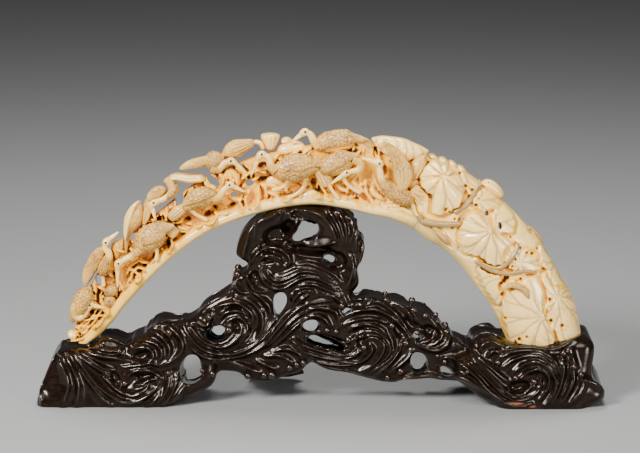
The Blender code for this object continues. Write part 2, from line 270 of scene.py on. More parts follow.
def depth_inside(steps: Array, corners: Array) -> Array:
    """Distance of each place from an outline.

    Args:
        steps: Places, as rows.
        corners: The corners of the outline, each once, as rows.

    Returns:
        The distances in steps, positive inside the outline.
    """
    inside = np.zeros(len(steps), bool)
    for (x0, y0), (x1, y1) in zip(corners, np.roll(corners, -1, axis=0)):
        crosses = (y0 > steps[:, 1]) != (y1 > steps[:, 1])
        slope = (x1 - x0) / (y1 - y0) if y1 != y0 else 0.0
        inside ^= crosses & (steps[:, 0] < x0 + (steps[:, 1] - y0) * slope)
    distance, _ = near_line(steps, np.vstack([corners, corners[:1]]))
    return np.where(inside, distance, -distance)


def rows_of(run: Sequence[Station] | Array, depth: float, half_depth: float) -> Array:
    """Stations of a sweep in metres from stations in the drawing.

    Args:
        run: Steps to the right, steps down and half width in steps, for each station.
        depth: Metres behind the tusk's plane.
        half_depth: Metres, at the widest place.

    Returns:
        Rows of x, y, z, half width and half depth, in metres.
    """
    stations = np.asarray(run, float)
    widths = stations[:, 2]
    share = 0.3 + 0.7 * widths / widths.max()
    return np.column_stack([place(stations[:, :2], depth), widths * STEP, half_depth * share])


def pick(*pieces: bpy.types.Object) -> None:
    """Selects these objects alone, and makes the first one active.

    Args:
        pieces: The objects.
    """
    bpy.ops.object.select_all(action="DESELECT")
    for piece in pieces:
        piece.select_set(True)
    bpy.context.view_layer.objects.active = pieces[0]


def stamp(piece: bpy.types.Object, name: str, values: Array | float) -> None:
    """Writes one number for each vertex of a piece, for its material to read.

    Args:
        piece: The piece.
        name: The name of the mark.
        values: A number for each vertex, or one for all.
    """
    mesh = piece.data
    spread = np.broadcast_to(np.asarray(values, np.float32), len(mesh.vertices))
    layer = mesh.attributes.get(name) or mesh.attributes.new(name, "FLOAT", "POINT")
    layer.data.foreach_set("value", np.ascontiguousarray(spread))


def read_rows(parts: bpy.types.bpy_prop_collection, what: str) -> Array:
    """Reads three numbers from each part of a mesh.

    Args:
        parts: Vertices, faces or normals.
        what: The property to read.

    Returns:
        Rows of three numbers.
    """
    flat = np.empty(len(parts) * 3)
    parts.foreach_get(what, flat)
    return flat.reshape(-1, 3)


def points_of(piece: bpy.types.Object) -> Array:
    """The vertices of a piece, as rows of x, y and z."""
    return read_rows(piece.data.vertices, "co")


def normals_of(piece: bpy.types.Object) -> Array:
    """The directions in which the vertices of a piece face, as rows of x, y and z."""
    return read_rows(piece.data.vertex_normals, "vector")


def move_points(piece: bpy.types.Object, points: Array) -> None:
    """Puts the vertices of a piece at new points."""
    piece.data.vertices.foreach_set("co", np.ascontiguousarray(points, np.float32).ravel())
    piece.data.update()


def named(name: str) -> bpy.types.Object:
    """Names the active object and its mesh.

    Args:
        name: The name for both.

    Returns:
        The object.
    """
    piece = bpy.context.active_object
    piece.name = name
    piece.data.name = name
    return piece


def cover(name: str, points: Array, **marks: Array | float) -> bpy.types.Object:
    """Bends a flat grid into a closed form.

    Args:
        name: The name of the piece.
        points: Rings of points, each ring ending where it began.
        marks: Numbers for each point, or one for all, to write on the piece.

    Returns:
        The closed piece, with its faces pointing out and its map unrolled from the grid.
    """
    rings, around = points.shape[:2]
    middle = points[:, :-1].mean(1, keepdims=True)
    spokes = points - middle
    turn = np.cross(spokes[:, :-1], spokes[:, 1:]).sum(1)
    ahead = np.gradient(middle[:, 0], axis=0)
    if (turn * ahead).sum() < 0.0:
        points = points[:, ::-1]
        marks = {key: value[:, ::-1] if np.ndim(value) == 2 else value
                 for key, value in marks.items()}
    bpy.ops.object.select_all(action="DESELECT")
    bpy.ops.mesh.primitive_grid_add(x_subdivisions=around - 1, y_subdivisions=rings - 1,
                                    size=1.0, calc_uvs=True)
    piece = named(name)
    move_points(piece, points.reshape(-1, 3))
    for key, value in marks.items():
        stamp(piece, key, value.ravel() if np.ndim(value) == 2 else value)
    bpy.ops.object.mode_set(mode="EDIT")
    bpy.ops.mesh.select_all(action="SELECT")
    bpy.ops.mesh.remove_doubles(threshold=ONE_POINT)
    bpy.ops.object.mode_set(mode="OBJECT")
    bpy.ops.object.shade_smooth()
    return piece


def sweep(name: str, rows: Array, rings: int, sides: int, relief: Field | None = None,
          blunt: float = 0.18, **marks: float | Field) -> bpy.types.Object:
    """Sweeps an oval along stations, with rounded ends.

    Args:
        name: The name of the piece.
        rows: Stations of x, y, z, half width and half depth, in metres.
        rings: How many ovals to use.
        sides: How many corners each oval has.
        relief: Height in metres for each share of the length and of the way round.
        blunt: The share of the length in which each end is rounded off.
        marks: Numbers to write on the piece, or what gives them for each share.

    Returns:
        The swept piece.
    """
    line = resample(rows, 6 * rings)
    turned = 0.5 - 0.5 * np.cos(np.linspace(0.0, math.pi, rings))
    shares = 0.5 * turned + 0.5 * np.linspace(0.0, 1.0, rings)
    at = shares * (len(line) - 1)
    line = np.stack([np.interp(at, np.arange(len(line)), column) for column in line.T], 1)
    centre, half_width, half_depth = line[:, :3], line[:, 3:4], line[:, 4:5]
    ahead = np.gradient(centre, axis=0)
    ahead /= np.linalg.norm(ahead, axis=1, keepdims=True)
    across = np.cross(ahead, (0.0, 1.0, 0.0))
    across /= np.maximum(np.linalg.norm(across, axis=1, keepdims=True), 1e-9)
    through = np.cross(across, ahead)
    end = np.minimum(shares, 1.0 - shares)[:, None] / max(blunt, 1e-6)
    taper = np.sqrt(np.clip(1.0 - (1.0 - np.clip(end, 0.0, 1.0)) ** 2, 0.0, 1.0))
    angle = np.linspace(0.0, 2.0 * math.pi, sides + 1)[None, :]
    u, v = np.broadcast_arrays(angle / (2.0 * math.pi), shares[:, None])
    marks = {key: value(u, v) if callable(value) else value for key, value in marks.items()}
    rise = relief(u, v) if relief else np.zeros_like(u)
    carved = np.clip((rise - rise.min()) / max(np.ptp(rise), 1e-9) * 1.25, 0.0, 1.0)
    carved = carved if relief else np.ones_like(u)
    rise = rise * np.clip(end * 2.0, 0.0, 1.0)
    wide = (half_width * taper + rise) * np.cos(angle)
    deep = (half_depth * taper + rise) * np.sin(angle)
    points = (centre[:, None] + wide[..., None] * across[:, None]
              + deep[..., None] * through[:, None])
    return cover(name, points, carved=carved, **marks)


def place_of_hit(tree: BVHTree, where: Place, face: Face) -> Vector | None:
    """Where the line of sight through a place meets a form.

    Args:
        tree: The form.
        where: The place.
        face: The side to find, of which the back is met straight behind the front.

    Returns:
        The point in metres, or None where the line misses the form.
    """
    origin = Vector(place(np.array(where, float), -CLEAR_OF_ALL))
    hit, *_ = tree.ray_cast(origin, Vector((0.0, 1.0, -math.tan(VIEW_ELEVATION))))
    if hit is not None and face is Face.BACK:
        hit, *_ = tree.ray_cast(Vector((hit.x, CLEAR_OF_ALL, hit.z)), Vector((0.0, -1.0, 0.0)))
    return hit


def landed(tree: BVHTree, line: Array, face: Face, smooth: int = 7) -> Array:
    """Lays a line of places on a form.

    Args:
        tree: The form.
        line: Rows of steps to the right and down.
        face: The side of the form to lie on.
        smooth: Over how many places, an odd number, the depth is evened out.

    Returns:
        The points in metres, or none where the line misses the form.
    """
    hits = [place_of_hit(tree, where, face) for where in line]
    known = np.array([hit is not None for hit in hits])
    if known.sum() < 4:
        return np.empty((0, 3))
    found = np.array([hit for hit in hits if hit is not None])
    at = np.arange(len(hits))
    full = np.stack([np.interp(at, at[known], column) for column in found.T], 1)
    padded = np.pad(full[:, 1], smooth // 2, mode="edge")
    full[:, 1] = np.convolve(padded, np.ones(smooth) / smooth, mode="valid")
    if face is Face.FRONT:
        return place(line, full[:, 1] - TUSK_PLANE_Y)
    return full


def merged(name: str, pieces: Sequence[bpy.types.Object]) -> bpy.types.Object:
    """Joins pieces into one object.

    Args:
        name: The name of the object.
        pieces: The pieces.

    Returns:
        The joined object.
    """
    pick(*pieces)
    if len(pieces) > 1:
        bpy.ops.object.join()
    return named(name)


def finished(piece: bpy.types.Object, kind: str, **settings: object) -> None:
    """Adds one modifier to a piece and applies it.

    Args:
        piece: The piece.
        kind: The modifier's type.
        settings: The modifier's settings.
    """
    pick(piece)
    modifier = piece.modifiers.new(kind.title(), kind)
    for key, value in settings.items():
        setattr(modifier, key, value)
    bpy.ops.object.modifier_apply(modifier=modifier.name)


def cut(piece: bpy.types.Object, tool: bpy.types.Object) -> None:
    """Cuts a closed tool out of a closed piece, and removes the tool."""
    finished(piece, "BOOLEAN", operation="DIFFERENCE", solver="MANIFOLD", object=tool)
    bpy.data.objects.remove(tool)


def oval_steps(centre: Place, half_width: float, half_height: float, lean: float) -> Array:
    """Places round a leaning oval.

    Args:
        centre: Its middle.
        half_width: Half its width, in steps.
        half_height: Half its height, in steps.
        lean: How far it is turned, in radians.

    Returns:
        The places, as rows.
    """
    angle = np.linspace(0.0, 2.0 * math.pi, OVAL_CORNERS, endpoint=False)
    across = half_width * np.cos(angle)
    down = half_height * np.sin(angle)
    return np.stack([centre[0] + across * math.cos(lean) + down * math.sin(lean),
                     centre[1] - across * math.sin(lean) + down * math.cos(lean)], 1)


def plug(name: str, outline: Array, half_depth: float) -> bpy.types.Object:
    """Makes a straight closed tool through the tusk's plane.

    Args:
        name: The name of the tool.
        outline: The places round it, as rows.
        half_depth: How far it reaches before and behind the plane, in metres.

    Returns:
        The tool.
    """
    loop = np.vstack([outline, outline[:1]])
    middle = np.repeat(outline.mean(0)[None], len(loop), 0)
    rings = (middle, loop, loop, middle)
    depths = (-half_depth, -half_depth, half_depth, half_depth)
    return cover(name, np.stack([place(ring, depth) for ring, depth in zip(rings, depths)]))


def ball(name: str, centre: Array, radius: float, sides: int) -> bpy.types.Object:
    """Makes a small ball, with its place written into its mesh.

    Args:
        name: The name of the ball.
        centre: Its middle, in metres.
        radius: Its radius, in metres.
        sides: How many faces go round it.

    Returns:
        The ball.
    """
    bpy.ops.object.select_all(action="DESELECT")
    bpy.ops.mesh.primitive_uv_sphere_add(segments=sides, ring_count=sides // 2, radius=radius)
    piece = named(name)
    bpy.ops.object.shade_smooth()
    move_points(piece, points_of(piece) + np.asarray(centre))
    return piece


@dataclass(frozen=True)
class Wire:
    """A socket of a material's nodes, on which shader maths is written with operators."""

    recipe: "Recipe"
    socket: bpy.types.NodeSocket

    def _math(self, operation: str, first: object, second: object) -> "Wire":
        """Adds one Math node for two values."""
        return self.recipe.add("ShaderNodeMath", {"operation": operation}, [first, second])

    def __add__(self, other: object) -> "Wire":
        """This plus another value."""
        return self._math("ADD", self, other)

    __radd__ = __add__

    def __sub__(self, other: object) -> "Wire":
        """This less another value."""
        return self._math("SUBTRACT", self, other)

    def __rsub__(self, other: object) -> "Wire":
        """Another value less this."""
        return self._math("SUBTRACT", other, self)

    def __mul__(self, other: object) -> "Wire":
        """This times another value."""
        return self._math("MULTIPLY", self, other)

    __rmul__ = __mul__

    def between(self, low: float, high: float, start: float = 0.0, end: float = 1.0) -> "Wire":
        """A smooth step of this value.

        Args:
            low: The value at which the step starts.
            high: The value at which it ends.
            start: What it gives up to there.
            end: What it gives from there on.

        Returns:
            The step as a wire.
        """
        return self.recipe.add("ShaderNodeMapRange", {"interpolation_type": "SMOOTHSTEP"},
                               {"Value": self, "From Min": low, "From Max": high,
                                "To Min": start, "To Max": end})


class Recipe:
    """One material and its nodes."""

    def __init__(self, name: str) -> None:
        """Makes an empty material.

        Args:
            name: The name of the material.
        """
        self.material = bpy.data.materials.new(name)
        self.material.use_nodes = True
        self.tree = self.material.node_tree
        self.shader = self.tree.nodes["Principled BSDF"]

    def add(self, kind: str, settings: dict[str, object] | None = None,
            inputs: Sequence[object] | dict[str, object] = (), output: int | str = 0) -> Wire:
        """Adds one node.

        Args:
            kind: The node's type.
            settings: Its settings.
            inputs: Values or wires, by name or in order.
            output: Which output to return.

        Returns:
            The output as a wire.
        """
        node = self.tree.nodes.new(kind)
        for key, value in (settings or {}).items():
            setattr(node, key, value)
        for key, value in inputs.items() if isinstance(inputs, dict) else enumerate(inputs):
            self.feed(node.inputs[key], value)
        return Wire(self, node.outputs[output])

    def feed(self, socket: bpy.types.NodeSocket, value: object) -> None:
        """Links a wire to a socket, or sets a plain value on it.

        Args:
            socket: The socket.
            value: The wire, number or colour.
        """
        if isinstance(value, Wire):
            self.tree.links.new(value.socket, socket)
        elif isinstance(value, tuple) and len(value) == 3 and socket.type == "RGBA":
            socket.default_value = (*value, 1.0)
        else:
            socket.default_value = value

    def set(self, **values: object) -> None:
        """Feeds the shader's own sockets, named with underscores."""
        for key, value in values.items():
            self.feed(self.shader.inputs[key.replace("_", " ")], value)

    def mark(self, name: str) -> Wire:
        """Reads a number that is written on the piece's vertices."""
        return self.add("ShaderNodeAttribute", {"attribute_name": name}, output="Fac")

    def position(self, scale: tuple[float, float, float] = (1.0, 1.0, 1.0)) -> Wire:
        """The object's own coordinates, stretched."""
        there = self.add("ShaderNodeTexCoord", output="Object")
        return self.add("ShaderNodeMapping", None, {"Vector": there, "Scale": scale})

    def unrolled(self, scale: tuple[float, float, float]) -> Wire:
        """The piece's own map, stretched."""
        there = self.add("ShaderNodeTexCoord", output="UV")
        return self.add("ShaderNodeMapping", None, {"Vector": there, "Scale": scale})

    def noise(self, where: Wire, scale: float, detail: float = 3.0,
              distortion: float = 0.0) -> Wire:
        """Soft noise.

        Args:
            where: The coordinates.
            scale: How fine the noise is.
            detail: How many finer layers it has.
            distortion: How far it is bent.

        Returns:
            The noise from 0 to 1.
        """
        return self.add("ShaderNodeTexNoise", None,
                        {"Vector": where, "Scale": scale, "Detail": detail,
                         "Distortion": distortion})

    def edges(self, where: Wire, scale: float) -> Wire:
        """How far it is to the edge of a cell of an uneven net.

        Args:
            where: The coordinates.
            scale: How fine the net is.

        Returns:
            The distance, in cells.
        """
        return self.add("ShaderNodeTexVoronoi", {"feature": "DISTANCE_TO_EDGE"},
                        {"Vector": where, "Scale": scale})

    def mix(self, share: Wire | float, first: object, second: object) -> Wire:
        """Mixes two colours.

        Args:
            share: How much of the second colour there is, from 0 to 1.
            first: The first colour.
            second: The second colour.

        Returns:
            The mixed colour.
        """
        return self.add("ShaderNodeMix", {"data_type": "RGBA"},
                        {"Factor": share, 6: first, 7: second}, output=2)

    def bump(self, height: Wire, distance: float, strength: float) -> Wire:
        """A normal that follows a height.

        Args:
            height: The height, from 0 to 1.
            distance: How much one stands for, in metres.
            strength: How much of the bump is kept.

        Returns:
            The normal.
        """
        return self.add("ShaderNodeBump", None, {"Height": height, "Distance": distance,
                                                 "Strength": strength})


@dataclass(frozen=True)
class IvoryFinish:
    """Old ivory: polished cream on high places, and gold, amber and brown in the hollows, as patina
    with painted shade.

    It reads five marks: plume is how feathered a place is, carved is 1 on a ridge and 0 in
    the groove of a fine cut, hollow is how deep the place lies, which colours it as patina and
    as painted shade, aged is how grey-brown it has gone, and hair is where fine brown cracks
    cover it.
    """

    cream: Color = (0.99, 0.66, 0.205)
    tan: Color = (0.80, 0.43, 0.066)
    # gold, amber and brown colour the hollows: patina, deepened into painted shade.
    gold: Color = (0.90, 0.47, 0.014)
    amber: Color = (0.62, 0.225, 0.006)
    brown: Color = (0.115, 0.026, 0.002)
    line: Color = (0.17, 0.066, 0.018)
    aged: Color = (0.34, 0.215, 0.070)
    cloud_scale: float = 60.0
    patch_scale: float = 22.0
    grain_scale: float = 1100.0
    barbs: tuple[float, float, float] = (44.0, 12.0, 1.0)
    crack_scale: float = 130.0
    crack_stretch: tuple[float, float, float] = (1.0, 1.0, 0.45)
    hair_scale: float = 210.0
    hair_strength: float = 0.38
    swirl_scale: float = 140.0
    swirl: float = 4.0 * MM
    cut_depth: float = 0.22 * MM
    coat: float = 0.62
    coat_lost: float = 0.45

    def _color(self, recipe: Recipe, gap: Wire, cloud: Wire, deep: Wire) -> Wire:
        """Paints the ivory, from its ground colour to its cracks.

        Args:
            recipe: The material.
            gap: Where the gaps between a feather's barbs are.
            cloud: Soft patches, from 0 to 1.
            deep: How deep each place lies, from 0 to 1; it paints patina and painted shade there.

        Returns:
            The colour.
        """
        where = recipe.position()
        plume, aged = recipe.mark("plume"), recipe.mark("aged")
        groove = 1.0 - recipe.mark("carved")
        patch = recipe.noise(where, self.patch_scale, 4.0, 0.6)
        warm = plume * 0.85 + cloud.between(0.45, 0.75) * 0.16
        color = recipe.mix(warm + patch.between(0.45, 0.7, 0.0, 0.28), self.cream, self.tan)
        color = recipe.mix(aged * (cloud * 0.5 + 0.6), color, self.aged)
        color = recipe.mix(gap * cloud.between(0.32, 0.6, 0.35, 0.95), color, self.line)
        color = recipe.mix(groove * (plume * 0.15 + 0.6), color, self.line)
        # The hollows turn gold, amber and brown: patina, together with painted shade.
        color = recipe.mix(deep.between(0.08, 0.45, 0.0, 0.95), color, self.gold)
        color = recipe.mix(deep.between(0.50, 0.88), color, self.amber)
        color = recipe.mix(deep.between(0.84, 1.04), color, self.brown)
        cracks = recipe.edges(recipe.position(self.crack_stretch), self.crack_scale)
        crack = cracks.between(0.045, 0.0) * cloud.between(0.5, 0.62)
        color = recipe.mix(crack * (0.3 - plume * 0.3), color, self.aged)
        bent = recipe.add("ShaderNodeVectorMath", {"operation": "MULTIPLY_ADD"},
                          [recipe.noise(where, self.swirl_scale, 2.0), (self.swirl,) * 3, where])
        hairs = recipe.edges(bent, self.hair_scale).between(0.085, 0.02)
        hair = hairs * recipe.mark("hair") * cloud.between(0.36, 0.56)
        return recipe.mix(hair * self.hair_strength, color, self.line)

    def material(self) -> bpy.types.Material:
        """Makes the material.

        Returns:
            The material.
        """
        recipe = Recipe("ivory")
        where, plume = recipe.position(), recipe.mark("plume")
        cloud = recipe.noise(where, self.cloud_scale)
        grain = recipe.noise(where, self.grain_scale, 2.0)
        deep = recipe.mark("hollow") + (cloud - 0.5) * 0.22 + (grain - 0.5) * 0.10
        barbs = recipe.edges(recipe.unrolled(self.barbs), 1.0)
        gap = barbs.between(0.13, 0.02) * plume.between(0.5, 0.9)
        coat = (self.coat - plume * self.coat_lost) * deep.between(0.15, 0.5, 1.0, 0.0)
        recipe.set(Base_Color=self._color(recipe, gap, cloud, deep),
                   Roughness=plume * 0.24 + grain * 0.10 + 0.20,
                   Normal=recipe.bump(grain * 0.15 - gap, self.cut_depth, 0.7),
                   Subsurface_Weight=0.12, Subsurface_Scale=0.004,
                   Subsurface_Radius=(1.0, 0.65, 0.35),
                   Coat_Weight=coat, Coat_Roughness=0.09, IOR=1.5)
        return recipe.material


@dataclass(frozen=True)
class WoodFinish:
    """Near-black polished hardwood, rubbed red-brown on its beads, with a lighter colour on its
    crests as a painted highlight.

    It reads two marks: crest is 0.5 on the crest of a wave and 1 on a bead, and worn is
    where the wood is bare.
    """

    dark: Color = (0.0030, 0.0017, 0.0011)
    brown: Color = (0.011, 0.0048, 0.0027)
    worn: Color = (0.034, 0.008, 0.0032)
    bare: Color = (0.26, 0.065, 0.028)
    # edge is a painted highlight: a lighter colour along the crests.
    edge: Color = (0.010, 0.0058, 0.0038)
    sheen: Color = (1.0, 0.86, 0.74)
    grain_scale: float = 160.0
    pore_scale: float = 420.0
    cloud_scale: float = 26.0
    grain_depth: float = 0.10 * MM

    def material(self) -> bpy.types.Material:
        """Makes the material.

        Returns:
            The material.
        """
        recipe = Recipe("dark_wood")
        crest = recipe.mark("crest")
        grain = recipe.noise(recipe.position((1.0, 3.0, 3.0)), self.grain_scale, 5.0, 1.2)
        pores = recipe.noise(recipe.position((1.0, 9.0, 9.0)), self.pore_scale, 2.0)
        cloud = recipe.noise(recipe.position(), self.cloud_scale)
        color = recipe.mix(grain.between(0.35, 0.7), self.dark, self.brown)
        # The crests and beads are painted lighter as a painted highlight, and take their coat from
        # the same mask.
        crest_coat_and_painted_highlight = crest.between(0.2, 0.5)
        color = recipe.mix(crest_coat_and_painted_highlight, color, self.edge)
        rubbed = crest.between(0.6, 1.0) * cloud.between(0.38, 0.62)
        color = recipe.mix(rubbed * 0.35, color, self.worn)
        chipped = recipe.mark("worn") * pores.between(0.3, 0.5)
        color = recipe.mix(chipped, color, self.bare)
        dull = crest.between(0.0, 0.5, 0.05, 0.0) + chipped * 0.4
        recipe.set(Base_Color=color, Roughness=grain * 0.08 + pores * 0.05 + dull + 0.09,
                   Normal=recipe.bump(grain * 0.6 + pores * 0.4, self.grain_depth, 0.4),
                   Specular_IOR_Level=0.30, Specular_Tint=self.sheen, IOR=1.5,
                   Coat_Weight=crest_coat_and_painted_highlight * 0.9, Coat_Roughness=0.10, Coat_Tint=self.sheen)
        return recipe.material


@dataclass(frozen=True)
class CloudedFinish:
    """A plain surface that varies a little between two colours."""

    name: str
    low: Color
    high: Color
    cloud_scale: float
    roughness: float

    def material(self) -> bpy.types.Material:
        """Makes the material.

        Returns:
            The material.
        """
        recipe = Recipe(self.name)
        cloud = recipe.noise(recipe.position(), self.cloud_scale)
        recipe.set(Base_Color=recipe.mix(cloud, self.low, self.high), Roughness=self.roughness)
        return recipe.material


BLACK_INLAY = CloudedFinish("black_inlay", (0.004, 0.003, 0.003), (0.012, 0.009, 0.007), 400.0,
                            0.18)
PALE_FLOOR = CloudedFinish("pale_floor", (0.235, 0.235, 0.232), (0.250, 0.250, 0.246), 3.0, 0.85)


# Stations of the tusk from its tip to its base: the inner edge, the outer edge, how much of
# the way across the core reaches, its half depth in metres, and how solid it is there.
TUSK_STATIONS = (
    ((88, 343), (67, 342), 0.95, 0.0075, 0.0), ((99, 334), (71, 322), 0.88, 0.0085, 0.0),
    ((114, 319), (80, 298), 0.80, 0.0095, 0.0), ((124, 306), (86, 274), 0.82, 0.0100, 0.0),
    ((146, 282), (101, 248), 0.80, 0.0105, 0.0), ((171, 258), (127, 220), 0.78, 0.0110, 0.0),
    ((197, 238), (150, 199), 0.74, 0.0115, 0.0), ((221, 225), (176, 178), 0.76, 0.0120, 0.0),
    ((251, 214), (212, 158), 0.78, 0.0125, 0.0), ((283, 206), (258, 142), 0.80, 0.0130, 0.0),
    ((312, 203), (303, 134), 0.82, 0.0130, 0.0), ((340, 206), (346, 132), 0.84, 0.0140, 0.0),
    ((371, 213), (386, 137), 0.88, 0.0155, 0.1), ((391, 218), (416, 147), 0.94, 0.0175, 0.5),
    ((412, 228), (450, 163), 1.00, 0.0195, 1.0), ((428, 240), (480, 182), 1.00, 0.0205, 1.0),
    ((440, 246), (511, 208), 1.00, 0.0210, 1.0), ((458, 262), (541, 242), 1.00, 0.0215, 1.0),
    ((478, 288), (562, 276), 1.00, 0.0220, 1.0), ((491, 305), (575, 299), 1.00, 0.0220, 1.0),
    ((504, 331), (582, 327), 1.00, 0.0215, 1.0), ((510, 345), (584, 338), 1.00, 0.0200, 1.0),
)


@dataclass(frozen=True)
class Stroke:
    """A stem, reed or leaf rib that stands out of the tusk's ground."""

    line: tuple[Place, ...]
    half_width: float
    height: float
    pointed: bool = True

    def raise_ground(self, steps: Array, ground: Array) -> None:
        """Raises the ground to this stroke's own height.

        Args:
            steps: Places, as rows.
            ground: The heights in metres, changed in place.
        """
        corners = np.asarray(self.line, float)
        low = corners.min(0) - self.half_width
        high = corners.max(0) + self.half_width
        near = np.nonzero(((steps > low) & (steps < high)).all(1))[0]
        if not len(near):
            return
        distance, share = near_line(steps[near], self.line)
        width = self.half_width
        if self.pointed:
            width = width * np.sqrt(np.sin(math.pi * np.clip(share, 0.03, 0.97)))
        rise = self.height * np.sqrt(np.clip(1.0 - (distance / width) ** 2, 0.0, 1.0))
        ground[near] = np.maximum(ground[near], rise + ground[near] * (distance > width))


@dataclass(frozen=True)
class Pit:
    """A hollow that is sunk into the ground."""

    centre: Place
    half_width: float
    half_height: float
    lean: float
    depth: float

    def sink_ground(self, steps: Array, ground: Array) -> None:
        """Lowers the ground inside the hollow.

        Args:
            steps: Places, as rows.
            ground: The heights in metres, changed in place.
        """
        away = steps - np.asarray(self.centre)
        across = away[:, 0] * math.cos(self.lean) - away[:, 1] * math.sin(self.lean)
        down = away[:, 0] * math.sin(self.lean) + away[:, 1] * math.cos(self.lean)
        far = np.sqrt((across / self.half_width) ** 2 + (down / self.half_height) ** 2)
        ground -= self.depth * (1.0 - ease(0.55, 1.15, far))


@dataclass(frozen=True)
class LotusLeaf:
    """A broad leaf in low relief, with cut veins that spread from its middle and fork."""

    centre: Place
    outline: tuple[Place, ...]
    veins: int
    dome: float = 1.6 * MM
    lobes: float = 0.7 * MM
    rise: float = 1.7 * MM
    curl: float = 0.0
    rim: float = 0.3 * MM
    scallop: float = 1.6
    vein_half_width: float = 0.72
    vein_depth: float = 0.35 * MM
    groove_depth: float = 1.5 * MM

    def carve(self, steps: Array, ground: Array, lines: Array, stain: Array) -> None:
        """Adds the leaf to the heights, in metres, its veins to the cut lines, and stain with
        painted shade to its groove.

        Args:
            steps: Places, as rows.
            ground: The heights, changed in place.
            lines: How strongly each place is cut, from 0 to 1, changed in place.
            stain: How dark each place is, from 0 to 1, as stain and painted shade, changed in
                place.
        """
        outline = rounded(self.outline, 6 * len(self.outline))
        wave = np.sin(np.linspace(0.0, 2.0 * math.pi, len(outline), endpoint=False) * self.veins)
        out = outline - np.asarray(self.centre)
        out /= np.linalg.norm(out, axis=1, keepdims=True)
        outline = outline + out * (self.scallop * np.abs(wave) - 0.5 * self.scallop)[:, None]
        inside = depth_inside(steps, outline)
        near = np.nonzero(inside > -7.0)[0]
        inside, away = inside[near], steps[near] - np.asarray(self.centre)
        far = np.hypot(away[:, 0], away[:, 1])
        out = far / (far + np.maximum(inside, 0.05))
        turns = np.arctan2(away[:, 1], away[:, 0]) / (2.0 * math.pi) * self.veins
        turns = turns + self.curl * out + 0.045 * np.sin(far * 0.19 + turns * 2.3)
        phase = np.abs(turns - np.round(turns))
        fork = 0.17 * ease(0.45, 0.95, out)
        beside = np.abs(phase - fork) * 2.0 * math.pi / self.veins * far
        vein = np.exp(-(beside / self.vein_half_width) ** 2)
        vein *= ease(0.0, 1.5, inside) * ease(1.0, 4.0, far)
        mask = ease(-0.9, 1.1, inside)
        swell = np.sin(math.pi * np.clip(phase, 0.0, 0.5)) ** 0.55
        leaf = self.rise * mask + self.dome * (1.0 - out ** 2.4) * mask
        leaf += self.lobes * swell * ease(0.04, 0.35, out) * mask - self.vein_depth * vein
        leaf += self.rim * np.exp(-((inside - 1.6) / 1.2) ** 2)
        groove = np.exp(-((inside + 1.9) / 1.7) ** 2)
        ground[near] = np.where(inside > -0.9, ground[near] * (1.0 - mask) + leaf, ground[near])
        ground[near] -= self.groove_depth * groove
        lines[near] = np.maximum(lines[near] * (1.0 - mask), vein)
        # The groove round the leaf is darkened, partly as stain and partly as painted shade.
        groove_soil_and_shade = 0.20 + 0.22 * np.sin(0.21 * steps[near, 0]) * np.sin(0.17 * steps[near, 1])
        stain[near] = np.maximum(stain[near] * (1.0 - mask), (0.14 + groove_soil_and_shade) * groove)


# Hollows in the ground between the herons.
PITS = (
    Pit((97.5, 296), 1.8, 7.0, 0.0, 5 * MM), Pit((91, 311.5), 2.6, 2.6, 0.0, 4 * MM),
    Pit((114, 270), 2.4, 9.0, 0.1, 5 * MM), Pit((160.5, 219), 6.0, 3.6, 0.6, 5 * MM),
    Pit((170, 245), 2.6, 8.0, 0.2, 5 * MM), Pit((155, 255.5), 2.6, 2.6, 0.0, 4 * MM),
    Pit((187, 220), 5.0, 3.0, 0.5, 5 * MM), Pit((211, 211), 9.0, 3.4, 0.7, 5 * MM),
    Pit((263, 166), 5.0, 3.6, 0.3, 5 * MM), Pit((264, 180), 7.5, 3.4, 0.0, 5 * MM),
    Pit((313.8, 182.5), 3.4, 4.0, 0.0, 5 * MM), Pit((375, 153), 2.2, 6.5, 0.0, 5 * MM),
    Pit((384, 171), 3.0, 5.5, 0.0, 6 * MM), Pit((146, 265), 4.0, 3.0, 0.6, 4 * MM),
    Pit((232, 205), 5.0, 2.4, 0.4, 4 * MM), Pit((283, 193), 5.0, 3.0, 0.2, 4 * MM),
    Pit((332, 190), 3.0, 5.0, 0.4, 4 * MM), Pit((368, 186), 4.0, 3.0, 0.5, 4 * MM),
)
